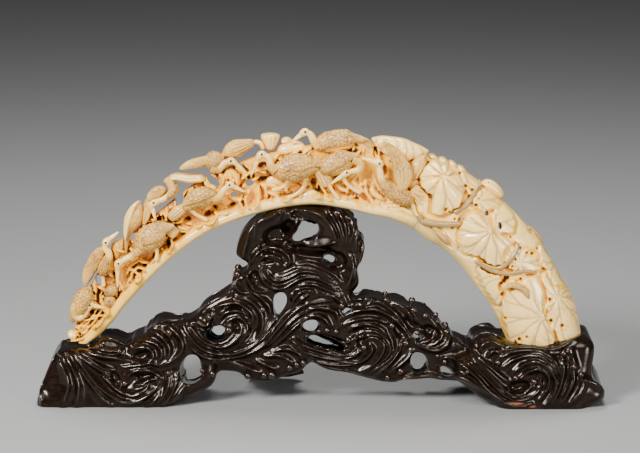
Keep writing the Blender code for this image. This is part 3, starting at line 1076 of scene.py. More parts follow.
# See-through holes: place, half width, half height and lean.
HOLES = (
    ((98.5, 280.5), 3.4, 5.6, 0.3), ((133.0, 237.0), 4.2, 3.9, 0.6),
    ((180.0, 197.0), 4.4, 14.0, 0.12), ((214.0, 181.0), 3.6, 8.0, 0.9),
    ((250.0, 183.0), 4.2, 3.3, 0.0), ((235.0, 194.0), 3.3, 2.4, 0.0),
)
REEDS = (
    # The tip, and the reeds beside the lowest heron.
    Stroke(((66, 341), (78, 339.5), (86, 337), (94, 328)), 2.0, 3.6 * MM),
    Stroke(((80, 331), (90, 318), (97, 307)), 1.7, 3.4 * MM),
    Stroke(((84, 332), (94, 320), (102, 308)), 1.7, 3.8 * MM),
    Stroke(((77, 328), (85, 317), (91, 311)), 1.5, 3.0 * MM),
    Stroke(((96, 327), (102, 321), (107, 314)), 2.6, 3.0 * MM),
    Stroke(((115, 288), (117, 300), (115, 314)), 1.6, 4.4 * MM),
    Stroke(((119, 288), (121, 300), (118, 314)), 1.6, 4.6 * MM),
    Stroke(((123, 290), (125, 300), (121, 311)), 1.6, 4.0 * MM),
    Stroke(((101, 292), (99, 302), (101, 311)), 1.8, 3.0 * MM),
    # Scrolled leaves under the second pair.
    Stroke(((127, 272), (131, 264), (139, 259), (147, 262), (150, 270)), 1.8, 4.6 * MM, False),
    Stroke(((131, 280), (132, 272), (138, 266), (145, 268), (147, 275)), 1.6, 4.2 * MM, False),
    Stroke(((136, 283), (137, 276), (142, 273)), 1.6, 3.8 * MM),
    Stroke(((138, 284), (141, 279), (146, 279)), 3.4, 3.2 * MM),
    Stroke(((120, 291), (127, 284), (130, 276)), 1.8, 3.6 * MM),
    Stroke(((152, 262), (158, 258), (166, 259), (170, 252)), 2.0, 3.8 * MM),
    Stroke(((162, 246), (163, 254), (160, 262)), 2.2, 4.4 * MM),
    Stroke(((171, 236), (173, 244), (170, 254)), 2.4, 4.6 * MM),
    Stroke(((153, 271), (161, 263), (170, 259)), 2.0, 3.6 * MM),
    Stroke(((147, 214), (154, 219), (160, 226)), 1.8, 3.8 * MM),
    Stroke(((163, 209), (167, 216), (168, 225)), 2.2, 4.0 * MM),
    Stroke(((158, 206), (162, 213), (163, 222)), 1.8, 3.8 * MM),
    # Between the middle herons and the band.
    Stroke(((178, 226), (190, 229), (204, 224), (216, 216)), 2.6, 4.2 * MM),
    Stroke(((186, 232), (198, 230), (211, 224)), 2.0, 3.4 * MM),
    Stroke(((206, 224), (215, 221), (218, 213), (213, 209)), 1.6, 4.4 * MM, False),
    Stroke(((216, 214), (228, 211.5), (240, 212)), 2.8, 4.6 * MM),
    Stroke(((222, 219), (232, 217), (243, 212)), 1.8, 3.4 * MM),
    Stroke(((259, 186), (259, 196), (258, 206)), 3.0, 4.6 * MM),
    Stroke(((250, 190), (245.6, 198), (247, 205), (251, 210)), 1.5, 4.8 * MM, False),
    Stroke(((266, 188), (267, 196), (263, 203), (256, 209)), 1.5, 4.8 * MM, False),
    Stroke(((243, 194), (240, 201), (244, 209)), 1.5, 4.0 * MM),
    Stroke(((272, 196), (270, 202), (262, 208)), 1.5, 3.8 * MM),
    Stroke(((263, 182), (272, 184), (282, 190)), 4.0, 4.2 * MM),
    Stroke(((266, 191), (278, 194), (290, 191)), 3.4, 4.0 * MM),
    Stroke(((272, 201), (284, 200), (297, 199)), 2.0, 4.2 * MM),
    Stroke(((298, 199), (304, 192), (311, 190), (318, 193), (323, 200)), 2.0, 4.6 * MM, False),
    Stroke(((303, 198), (310, 195), (318, 198)), 5.0, 4.8 * MM),
    Stroke(((318, 176), (322, 186), (328, 196)), 2.4, 4.4 * MM),
    Stroke(((323.7, 201), (339, 199.5), (355.3, 195.5)), 2.2, 5.0 * MM),
    Stroke(((334, 182), (341, 188), (348, 191)), 3.0, 4.0 * MM),
    Stroke(((352, 180), (357, 187), (364, 192)), 3.0, 4.2 * MM),
    Stroke(((365, 181), (366, 192), (372, 201), (384, 205), (398, 205)), 2.0, 5.0 * MM, False),
    Stroke(((368, 184), (374, 193), (383, 199)), 4.0, 3.6 * MM),
    Stroke(((358, 196), (364, 202), (372, 208)), 2.0, 3.6 * MM),
    Stroke(((372, 174), (377, 184), (383, 194)), 2.2, 3.8 * MM),
    Stroke(((390, 208), (402, 209), (414, 216)), 3.0, 3.4 * MM),
    Stroke(((186, 185), (186, 190), (184, 197)), 1.8, 4.0 * MM),
    Stroke(((191, 185), (191, 191), (189, 197)), 1.8, 3.8 * MM),
    Stroke(((231, 168), (237, 176), (238, 187)), 4.0, 5.0 * MM),
    Stroke(((219, 171), (224, 178), (224, 186)), 2.4, 4.0 * MM),
    Stroke(((244, 163), (251, 168), (252, 178)), 1.8, 4.6 * MM),
    Stroke(((243, 178), (250, 172), (258, 170), (266, 172)), 1.5, 4.8 * MM, False),
    Stroke(((244, 186), (250, 180), (258, 178)), 1.5, 4.4 * MM, False),
)
LEAVES = (
    LotusLeaf((441.5, 175), ((419, 181), (421, 170), (427, 163), (437, 160), (448, 164),
                             (458, 172), (466, 183), (461, 196), (458, 205), (444, 213),
                             (431, 213), (431, 196), (424, 191)), 8, 4.6 * MM, 3.3 * MM,
              curl=0.25),
    LotusLeaf((488.6, 228.4), ((463, 217), (473, 213), (484, 218), (496, 231), (507, 240),
                               (512, 246), (507, 259), (500, 264), (489, 264), (480, 257),
                               (470, 254), (461, 251), (458, 233)), 11, 5.0 * MM, 1.5 * MM,
              curl=-0.3),
    LotusLeaf((540.2, 315.8), ((501, 306), (506, 293), (518, 283), (528, 276), (536, 278),
                               (543, 292), (546, 311), (553, 328), (552, 350), (532, 356),
                               (514, 352), (506, 325)), 10, 3.2 * MM, 0.8 * MM, curl=0.2,
              rim=0.5 * MM),
    LotusLeaf((557, 296), ((540, 277), (548, 270), (560, 268), (569, 288), (577, 301),
                           (586, 325), (584, 350), (566, 352), (556, 334), (549, 318),
                           (545, 306), (546, 292)), 9, 1.4 * MM, 0.4 * MM, curl=-0.2),
    LotusLeaf((477, 200), ((470, 200), (474, 193), (483, 189), (494, 190), (502, 197),
                           (503, 205), (497, 212), (489, 209), (483, 213), (477, 209)), 6,
              1.3 * MM, 0.4 * MM, rim=0.5 * MM),
    LotusLeaf((492, 222), ((491, 213), (499, 209), (504, 203), (510, 211), (514, 222),
                           (510, 233), (503, 232), (497, 234), (492, 226)), 5, 1.0 * MM,
              0.4 * MM, rim=0.5 * MM),
    LotusLeaf((517, 262), ((505, 252), (514, 247), (526, 250), (537, 256), (543, 266),
                           (536, 270), (520, 270), (508, 268)), 8, 1.2 * MM, 0.5 * MM),
    LotusLeaf((508, 270), ((478, 268), (489, 273), (500, 276), (497, 286), (502, 296),
                           (497, 305), (490, 296), (482, 284)), 7, 0.6 * MM, 0.3 * MM),
    LotusLeaf((462, 172), ((449, 166), (458, 168), (470, 175), (478, 183), (474, 190),
                           (468, 196), (463, 186), (457, 176)), 6, 0.8 * MM, 0.3 * MM),
    LotusLeaf((555, 262), ((538, 248), (545, 248), (554, 258), (561, 272), (566, 284),
                           (556, 283), (548, 272), (541, 262)), 6, 0.5 * MM, 0.2 * MM),
)
FOLDS = (
    Stroke(((434, 228), (439, 234), (445, 239)), 4.4, 1.6 * MM),
    Stroke(((428, 226), (438, 240), (452, 250)), 1.2, 1.2 * MM),
    Stroke(((440, 226), (450, 238), (457, 247)), 1.2, 1.2 * MM),
    Stroke(((505, 285), (512, 283), (520, 287), (525, 294), (527.6, 298)), 2.4, 2.6 * MM, False),
    Stroke(((530, 280), (535, 292), (538, 305)), 2.6, 1.6 * MM),
    Stroke(((497, 277), (505, 290), (509, 303)), 1.6, 1.4 * MM),
    Stroke(((516, 306), (522, 322), (521, 334)), 2.0, 1.0 * MM),
)
# Stems between the leaves, with their half widths in steps.
STEMS = (
    (((422, 221), (432, 223), (446, 224), (459, 223.3)), 3.6),
    (((452, 213), (456, 210.5), (463.3, 205.8), (470, 197.7), (475, 189), (481, 184)), 2.8),
    (((516, 242), (513.6, 251), (508.5, 259), (501.8, 265.6), (493, 267.5), (483, 264.6),
      (473.3, 260.5)), 2.5),
    (((474, 260), (482, 265), (490.6, 269.7), (505, 272.8), (520, 270.7), (534, 271.2)), 2.3),
    (((459, 223), (461, 219), (459, 216)), 1.8),
    (((417, 214), (421, 221), (427, 224)), 3.2),
)
PIN_HOLES = ((477, 198.3), (453.3, 219.4), (509, 237.4), (513.6, 258.5), (518.7, 247.8),
             (525.3, 252.3), (536, 248.8), (510.5, 265.6), (519, 279), (505, 317.5),
             (526, 335.6), (515.8, 341), (541.5, 268.5), (447.7, 212.0))
WIDE_PIN_HOLES = ((458.5, 173.5), (464, 186), (470.4, 190), (474.2, 205), (444, 209),
                  (450.7, 226.8), (530.4, 252.9), (548.7, 299), (550, 319.8), (561.4, 325),
                  (519.2, 338.4), (501, 294))
# One hole in the shape of a drop, from three that overlap.
DEEP_HOLES = (Pit((505.2, 277.8), 2.9, 3.7, 0.2, 4 * MM),
              Pit((503.0, 280.6), 2.4, 2.2, 0.5, 3 * MM),
              Pit((500.3, 282.6), 1.8, 1.1, 0.6, 3 * MM))
END_HOLES = (((484.7, 213.3), 2.0, 2.6, 0.2), ((498.0, 225.7), 2.0, 3.6, 0.15))


def bulge(share: Array, squareness: float) -> Array:
    """Half of a rounded section, from 1 in its middle to 0 where share is 1."""
    return (1.0 - share ** squareness) ** (1 / squareness)


@dataclass
class TuskBody:
    """The tusk's own curved body: the smooth inner band, the sunk ground and the solid end."""

    seed: int = 11
    band_half_width: float = 6.6
    band_out: float = 1.6 * MM
    band_squareness: float = 2.6
    ground_squareness: float = 6
    solid_squareness: float = 2.3
    sunk_share: float = 0.42
    reed_growth: float = 1.45
    pin_hole_radius: float = 1.3
    wide_pin_hole_radius: float = 1.9
    reeds_added: int = 150
    rib_spacing: float = 3.6
    rib_height: float = 0.7 * MM
    pin_hole_depth: float = 2.4 * MM
    hole_reach: float = 45 * MM
    stem_out: float = 1.7 * MM
    stem_points: int = 40
    crosswise: list[Stroke] = field(default_factory=list)

    def __post_init__(self) -> None:
        """Draws the smaller reeds and stems that fill the ground between the figures."""
        draw = random.Random(self.seed)
        for _ in range(self.reeds_added):
            at = draw.uniform(0.6, 12.4)
            inner, outer = self._edges(at)
            share = draw.uniform(0.26, 0.92)
            middle = inner + (outer - inner) * share
            spread = draw.uniform(5.0, 12.0)
            lean = draw.uniform(-0.9, 0.9) + math.atan2(*(outer - inner)[::-1])
            ahead = np.array([math.cos(lean), math.sin(lean)]) * spread
            side = np.array([-ahead[1], ahead[0]]) * draw.uniform(-0.35, 0.35)
            line = tuple(map(tuple, (middle - ahead, middle + side, middle + ahead)))
            self.crosswise.append(Stroke(line, draw.uniform(1.4, 3.4),
                                         draw.uniform(1.2, 4.2) * MM))

    @staticmethod
    def _edges(at: float) -> tuple[Array, Array]:
        """The edges of the tusk at a place between two stations.

        Args:
            at: The number of a station, and the share of the way to the next.

        Returns:
            The inner and the outer edge, as places.
        """
        low = min(int(at), len(TUSK_STATIONS) - 2)
        share = at - low
        (a, b, *_), (c, d, *_) = TUSK_STATIONS[low], TUSK_STATIONS[low + 1]
        return (np.add(np.multiply(a, 1 - share), np.multiply(c, share)),
                np.add(np.multiply(b, 1 - share), np.multiply(d, share)))

    def _heights(self, steps: Array, inward: Array, solid: Array) -> tuple[Array, Array, Array]:
        """The carving of the ground.

        Args:
            steps: Places, as rows.
            inward: How many steps each place is from the inner edge.
            solid: How solid the tusk is there, from 0 to 1.

        Returns:
            The heights in metres, the cut lines, and the stains with painted shade in the hollows,
            both from 0 to 1.
        """
        edge = 10.5 + 2.4 * np.sin(0.17 * steps[:, 0]) + 1.6 * np.sin(0.43 * steps[:, 0] + 1.0)
        open_ground = ease(edge - 1.4, edge + 1.6, inward) * (1.0 - solid)
        ground, carved = np.zeros(len(steps)), np.zeros(len(steps))
        lines, stain = np.zeros(len(steps)), np.zeros(len(steps))
        for stroke in (*self.crosswise, *REEDS):
            stroke.raise_ground(steps, ground)
        ground *= self.reed_growth
        flow = 0.9 * np.sin(0.045 * steps[:, 0] + 1.3) + 0.7 * np.sin(0.06 * steps[:, 1])
        turned = steps[:, 0] * np.cos(flow) + steps[:, 1] * np.sin(flow)
        ribs = np.abs(np.sin(math.pi * turned / self.rib_spacing))
        ground += self.rib_height * (np.sqrt(ribs) - 0.6)
        for pit in PITS:
            pit.sink_ground(steps, ground)
        for leaf in LEAVES:
            leaf.carve(steps, carved, lines, stain)
        for stroke in FOLDS:
            stroke.raise_ground(steps, carved)
        pins = [Pit(centre, radius, 1.15 * radius, 0.5, self.pin_hole_depth)
                for centres, radius in ((PIN_HOLES, self.pin_hole_radius),
                                        (WIDE_PIN_HOLES, self.wide_pin_hole_radius))
                for centre in centres]
        for pit in (*pins, *DEEP_HOLES):
            pit.sink_ground(steps, carved)
            gone = np.hypot(*(steps - np.asarray(pit.centre)).T) / pit.half_width
            # The inside of each pin hole is painted dark, partly painted shade and partly dirt; the
            # fainter halo round it is stain.
            dark, halo = 1.15 * np.exp(-(gone / 0.95) ** 4), 0.36 * np.exp(-(gone / 2.2) ** 2)
            stain = np.maximum(stain, dark + halo)
        # The rim round each see-through hole is darkened: painted shade, with stain.
        for centre, half_width, *_ in END_HOLES:
            gone = np.hypot(*(steps - np.asarray(centre)).T) / half_width
            stain = np.maximum(stain, 0.62 * np.exp(-(gone / 1.9) ** 4))
        on_end = ease(0.3, 0.9, solid)
        # Sunk pits, the ground between the reeds and the grooves between ribs are darkened: partly
        # patina, partly painted shade.
        low = ease(-0.5 * MM, -4.0 * MM, ground) * 0.40 + ease(4.6 * MM, 0.4 * MM, ground) * 0.30
        towards_tip = ease(330.0, 110.0, steps[:, 0])
        low = low + 0.16 * (1.0 - ribs) ** 2 - 0.05 * ribs
        glow = ease(edge - 9.0, edge, inward) * (0.15 + 0.08 * towards_tip) + 0.23 * towards_tip
        stain = stain * on_end + (low + 0.13) * open_ground + glow * (1.0 - solid)
        return ground * open_ground + carved * on_end, lines * on_end, stain

    def section(self, name: str, first: int, last: int, rings: int, sides: int) -> bpy.types.Object:
        """Makes one stretch of the body.

        Args:
            name: The name of the piece.
            first: The station it starts from.
            last: The station it ends at.
            rings: How many ovals to use.
            sides: How many corners each oval has.

        Returns:
            The closed stretch, with its relief on the front and the back.
        """
        rows = []
        for inner, outer, reach, half_depth, solid in TUSK_STATIONS[first:last + 1]:
            far = np.add(inner, np.multiply(np.subtract(outer, inner), reach))
            rows.append([*place(np.add(inner, far) / 2), *inner, *far, half_depth, solid])
        line = resample(np.array(rows), rings)
        inner, far, half_depth, solid = line[:, 3:5], line[:, 5:7], line[:, 7], line[:, 8]
        angle = np.linspace(0.0, 2.0 * math.pi, sides + 1)
        share = (1.0 + np.cos(angle)) / 2
        steps = inner[:, None] + share[None, :, None] * (far - inner)[:, None]
        inward = share[None] * np.linalg.norm(far - inner, axis=1)[:, None]
        full = half_depth[:, None]
        centred = np.abs(2 * share - 1)[None]
        solid = np.clip(solid, 0.0, 1.0)[:, None]
        band_share = np.clip(np.abs(inward / self.band_half_width - 1.0), 0.0, 1.0)
        band = (full + self.band_out) * bulge(band_share, self.band_squareness)
        ground = self.sunk_share * full * bulge(centred, self.ground_squareness)
        open_depth = np.where(inward < self.band_half_width, band, np.maximum(band, ground))
        whole = full + self.band_out * (1.0 - solid)
        whole = whole * bulge(centred, self.solid_squareness)
        deep = open_depth * (1.0 - solid) + whole * solid
        side = np.sign(np.round(np.sin(angle), 6))[None]
        points = place(steps)
        points[..., 1] += side * deep
        flat = seen(points).reshape(-1, 2)
        everywhere = np.broadcast_to(solid, inward.shape).ravel()
        rise, lines, stain = (part.reshape(inward.shape)
                              for part in self._heights(flat, inward.ravel(), everywhere))
        rise = rise * ease(0.05, 0.35, np.abs(np.sin(angle)))[None]
        points[..., 1] += side * np.maximum(rise, 0.001 - deep)
        points[[0, -1]] = points[[0, -1]].mean(1, keepdims=True)
        piece = cover(name, points, plume=0.0, carved=1.0 - lines, stain=stain)
        where = seen(points_of(piece))
        stamp(piece, "hair", ease(532.0, 552.0, where[:, 0] + 0.25 * (where[:, 1] - 260.0)))
        return piece

    def _pierce(self, piece: bpy.types.Object, holes: Sequence[tuple]) -> None:
        """Cuts see-through holes.

        Args:
            piece: The stretch to cut.
            holes: The place, half width, half height and lean of each hole.
        """
        for hole in holes:
            cut(piece, plug("hole", oval_steps(*hole), self.hole_reach))

    def build(self) -> list[bpy.types.Object]:
        """Makes both stretches of the body with their holes, and the stems.

        Returns:
            The openwork, the solid end and the stems.
        """
        openwork = self.section("tusk_openwork", 0, 14, 460, 136)
        self._pierce(openwork, HOLES)
        solid_end = self.section("tusk_solid_end", 13, 21, 190, 310)
        stems = self._stems(BVHTree.FromObject(solid_end,
                                               bpy.context.evaluated_depsgraph_get()))
        self._pierce(solid_end, END_HOLES)
        return [openwork, solid_end, stems]

    def _stems(self, tree: BVHTree) -> bpy.types.Object:
        """Makes the round stems that wind between the leaves, on both sides.

        Args:
            tree: The solid end, to lay them on.

        Returns:
            The stems, as one piece.
        """
        stems = []
        for face in Face:
            for line, half_width in STEMS:
                points = landed(tree, resample_flat(line, self.stem_points), face, 15)
                points[:, 1] += face.value * self.stem_out
                share = np.linspace(0.0, 1.0, self.stem_points)
                width = half_width * STEP * (1.0 - 0.25 * share)
                rows = np.column_stack([points, width, width])
                stems.append(sweep("stem", rows, 60, 20, long_ribs(7, 0.12 * MM), 0.06,
                                   plume=0.3, aged=1.3))
        return merged("stems", stems)


FIGURE_DEPTH = 0.0125
BODY_HALF_DEPTH = 7.5 * MM
NECK_OUT = 3.5 * MM
LEG_OUT = 2.5 * MM
EYE_OUT = 2.75 * MM
FEATHER_LENGTH = 2.6 * MM
FEATHER_WIDTH = 3.4 * MM
ON_BOTH_FACES = 0.5
Run = tuple[Station, ...]


class Surface(Enum):
    """How the surface of a leaf, bud, pod or wing is carved."""

    RIBBED = "ribbed"
    FEATHERED = "feathered"
    FOLDED = "folded"


def faces_at(depth: float) -> tuple[Face, ...]:
    """The sides that a figure is carved on, by how far out it stands."""
    return (Face.FRONT, Face.BACK) if abs(depth) > ON_BOTH_FACES else (Face.FRONT,)


def feathers(rows: int, columns: int, height: float) -> Field:
    """Overlapping feathers, each with a shaft, laid in rows along a sweep.

    Args:
        rows: How many rows there are along the piece.
        columns: How many feathers go round it.
        height: How far the feathers stand out, in metres.

    Returns:
        The height for each share round and along.
    """
    def relief(u: Array, v: Array) -> Array:
        """The height of the feathers.

        Args:
            u: Shares of the way round.
            v: Shares of the length.

        Returns:
            The heights in metres.
        """
        along = v * rows
        row = np.floor(along)
        across = (u * columns + 0.5 * (row % 2)) % 1.0 - 0.5
        tip = (along - row) + 2.2 * across ** 2
        shaft = np.exp(-(across / 0.09) ** 2)
        rise = np.clip(tip, 0.0, 1.0) ** 1.5 + 0.35 * shaft - 0.5 * ease(0.92, 1.0, tip)
        return height * rise
    return relief


def long_ribs(count: int, height: float, start: float = 0.0) -> Field:
    """Long flight feathers or leaf ribs that run along a sweep.

    Args:
        count: How many go round it.
        height: How far they stand out, in metres.
        start: The share of the length at which they begin.

    Returns:
        The height for each share round and along.
    """
    def relief(u: Array, v: Array) -> Array:
        """The height of the ribs at these shares round and along."""
        wave = np.abs(np.sin(math.pi * count * u))
        return height * (np.sqrt(wave) - 0.6) * ease(start, start + 0.25, v)
    return relief


def cross_folds(count: int, height: float) -> Field:
    """Flutes that run across a sweep, leaning, as on a folded leaf.

    Args:
        count: How many there are along it.
        height: How far they stand out, in metres.

    Returns:
        The height for each share round and along.
    """
    def relief(u: Array, v: Array) -> Array:
        """The height of the flutes at these shares round and along."""
        lean = v + 0.10 * np.sin(2.0 * math.pi * u) + 0.03 * np.sin(9.0 * v)
        wave = np.abs(np.sin(math.pi * count * lean))
        return height * (wave ** 0.7 - 0.6) * ease(0.05, 0.13, np.minimum(u, 1.0 - u))
    return relief


def feathers_then_quills(scales: Field, quills: Field, low: float, high: float) -> Field:
    """Small feathers that give way to long ones along a wing.

    Args:
        scales: The small feathers.
        quills: The long feathers.
        low: The share of the length at which the small ones begin to end.
        high: The share at which they are gone.

    Returns:
        The height for each share round and along.
    """
    return lambda u, v: scales(u, v) * (1.0 - ease(low, high, v)) + quills(u, v)


@dataclass(frozen=True)
class Heron:
    """One heron: its body, the wings it folds over it, its tail, neck, head, beak and legs."""

    name: str
    depth: float
    head: Place
    beak: tuple[Place, ...]
    neck: tuple[Place, ...]
    body: Run
    legs: tuple[tuple[Place, ...], ...] = ()
    tail: Run = ()
    wing: Run = ()
    body_half_depth: float = BODY_HALF_DEPTH
    wing_spread: bool = False
    neck_half_width: float = 2.9
    eye_radius: float = 0.95 * MM
    wing_step: float = 1.15 * MM
    edge_depth: float = 0.8 * MM
    quill_width: float = 1.5
    quill_height: float = 0.28 * MM
    head_half_depth: float = 3.1 * MM
    beak_half_depth: float = 1.7 * MM
    neck_half_depth: float = 3.4 * MM
    leg_half_depth: float = 2.0 * MM

    def _body(self, depth: float) -> bpy.types.Object:
        """Makes the feathered body, with its folded wing carved on it.

        Args:
            depth: Metres behind the tusk's plane.

        Returns:
            The body.
        """
        rows = rows_of(self.body, depth, self.body_half_depth)
        length = np.linalg.norm(np.diff(rows[:, :3], axis=0), axis=1).sum()
        width = rows[:, 3].max()
        scales = max(6, round(length / FEATHER_LENGTH))
        columns = 2 * max(4, round(width * math.pi / FEATHER_WIDTH))
        body = sweep("body", rows, 5 * scales, 4 * columns,
                     feathers(scales, columns, 0.30 * MM), 0.2, plume=1.0, stain=0.0)
        if not self.wing_spread:
            self._fold_wing(body)
        return body

    def _fold_wing(self, body: bpy.types.Object) -> None:
        """Raises the folded wing on the body, with a deep cut along its edge that is darkened as
        painted shade.

        Args:
            body: The body, changed in place.
        """
        points, normals = points_of(body), normals_of(body)
        right, down, widths = np.array(self.wing).T
        line = resample(np.column_stack([right, down, np.zeros(len(right)), widths]), 24)
        distance, share = near_line(seen(points), line[:, :2])
        reach = np.interp(share, np.linspace(0.0, 1.0, 24), line[:, 3])
        inside = reach - distance
        quill = np.abs(np.sin(math.pi * distance / self.quill_width)) * ease(0.35, 0.6, share)
        rise = self.wing_step * ease(-0.5, 0.5, inside)
        rise += self.quill_height * quill * (inside > 0.0)
        edge = np.exp(-((inside + 1.0) / 0.8) ** 2)
        rise -= self.edge_depth * edge
        facing = ease(0.05, 0.5, np.abs(normals[:, 1]))
        move_points(body, points + normals * (rise * facing)[:, None])
        # The cut along the wing's edge is darkened as painted shade.
        stamp(body, "stain", 0.50 * edge * facing)

    def _wing(self, depth: float, out: float) -> bpy.types.Object:
        """Makes the long feathers of a wing: all of it when spread, or its tip past the body.

        Args:
            depth: Metres behind the tusk's plane.
            out: The side of the body it lies on, minus one for the front.

        Returns:
            The wing.
        """
        run = self.wing
        if not self.wing_spread:
            before, last = np.array(run[-2:])
            away = (last - before)[:2]
            tip = last[:2] + away / max(math.hypot(*away), ONE_POINT) * 6.0
            run = ((*before[:2], 0.8 * before[2]), (*last[:2], max(last[2], 3.2)), (*tip, 0.6))
        rows = rows_of(run, depth + out * 0.55 * self.body_half_depth, 0.34 * self.body_half_depth)
        quills = long_ribs(13, 0.45 * MM, 0.35 if self.wing_spread else 0.0)
        relief = feathers_then_quills(feathers(12, 18, 0.26 * MM), quills, 0.45, 0.75)
        return sweep("wing", rows, 44, 56, relief, 0.10,
                     plume=lambda u, v: 1.0 - 0.35 * ease(0.4, 0.8, v))

    def _head(self, depth: float) -> list[bpy.types.Object]:
        """Makes the head and the two halves of the beak.

        Args:
            depth: Metres behind the tusk's plane.

        Returns:
            The three pieces.
        """
        back, head = np.asarray(self.neck[-1]), np.asarray(self.head)
        first, tip = np.asarray(self.beak[0]), np.asarray(self.beak[-1])
        brow = head + (first - head) * 0.9
        nape = head + (back - head) * 0.8
        run = [(*nape, 2.3), (*head, 4.1), (*brow, 3.0), (*(brow + (tip - brow) * 0.22), 1.7)]
        pieces = [sweep("head", rows_of(run, depth, self.head_half_depth), 22, 20, blunt=0.22,
                        plume=0.25)]
        along = (tip - brow) / max(np.linalg.norm(tip - brow), ONE_POINT)
        side = np.array([-along[1], along[0]])
        for sign in (-1.0, 1.0):
            half = [(*(brow + side * sign * 1.0), 1.5)]
            for share, width in ((0.5, 1.35), (1.0, 0.7)):
                middle = brow + (tip - brow) * share + side * sign * 0.8 * (1.0 - share * 0.75)
                half.append((*middle, width))
            pieces.append(sweep("beak", rows_of(half, depth, self.beak_half_depth), 18, 10,
                                blunt=0.1, plume=0.12))
        return pieces

    def _neck(self, depth: float) -> bpy.types.Object:
        """Makes the neck, which thins towards the head.

        Args:
            depth: Metres behind the tusk's plane.

        Returns:
            The neck.
        """
        neck = [(*where, self.neck_half_width * (1.6 - 0.7 * i / len(self.neck)))
                for i, where in enumerate((*self.neck, self.head))]
        return sweep("neck", rows_of(neck, depth, self.neck_half_depth), 54, 24, blunt=0.05,
                     plume=lambda u, v: 0.95 - 0.62 * ease(0.1, 0.8, v))

    def _leg(self, line: tuple[Place, ...], depth: float) -> bpy.types.Object:
        """Makes one leg, with its thigh and its foot.

        Args:
            line: The places that it runs through.
            depth: Metres behind the tusk's plane.

        Returns:
            The leg.
        """
        widths = np.interp(np.linspace(0.0, 1.0, len(line)), (0.0, 0.4, 0.9, 1.0),
                           (3.6, 1.8, 1.5, 2.4))
        rows = rows_of(np.column_stack([line, widths]), depth, self.leg_half_depth)
        return sweep("leg", rows, 26, 12, blunt=0.12,
                     plume=lambda u, v: 0.9 - 0.6 * ease(0.1, 0.6, v))

    def eyes(self) -> list[bpy.types.Object]:
        """Makes the inlaid eyes, on both sides of the head.

        Returns:
            The eyes, as small balls.
        """
        faces = faces_at(self.depth)
        dots = []
        for face in faces:
            middle = face.value * (abs(self.depth) * FIGURE_DEPTH + NECK_OUT)
            for side in (face.value,) if len(faces) == 2 else (-1.0, 1.0):
                there = place(np.asarray(self.head), middle + side * EYE_OUT)
                dots.append(ball("eye", there, self.eye_radius, 16))
        return dots

    def build(self) -> list[bpy.types.Object]:
        """Makes the heron on each side that it is carved on.

        Returns:
            Its pieces.
        """
        faces = faces_at(self.depth)
        pieces = []
        for face in faces:
            depth = face.value * abs(self.depth) * FIGURE_DEPTH
            high = depth + face.value * NECK_OUT
            pieces += [self._body(depth), self._wing(depth, face.value)]
            if len(faces) == 1:
                pieces.append(self._wing(depth, -face.value))
            if self.tail:
                rows = rows_of(self.tail, depth, 0.36 * self.body_half_depth)
                pieces.append(sweep("tail", rows, 34, 66, long_ribs(11, 0.8 * MM), 0.12,
                                    plume=0.75))
            pieces += [self._neck(high), *self._head(high)]
            pieces += [self._leg(leg, depth + face.value * LEG_OUT) for leg in self.legs]
        return pieces


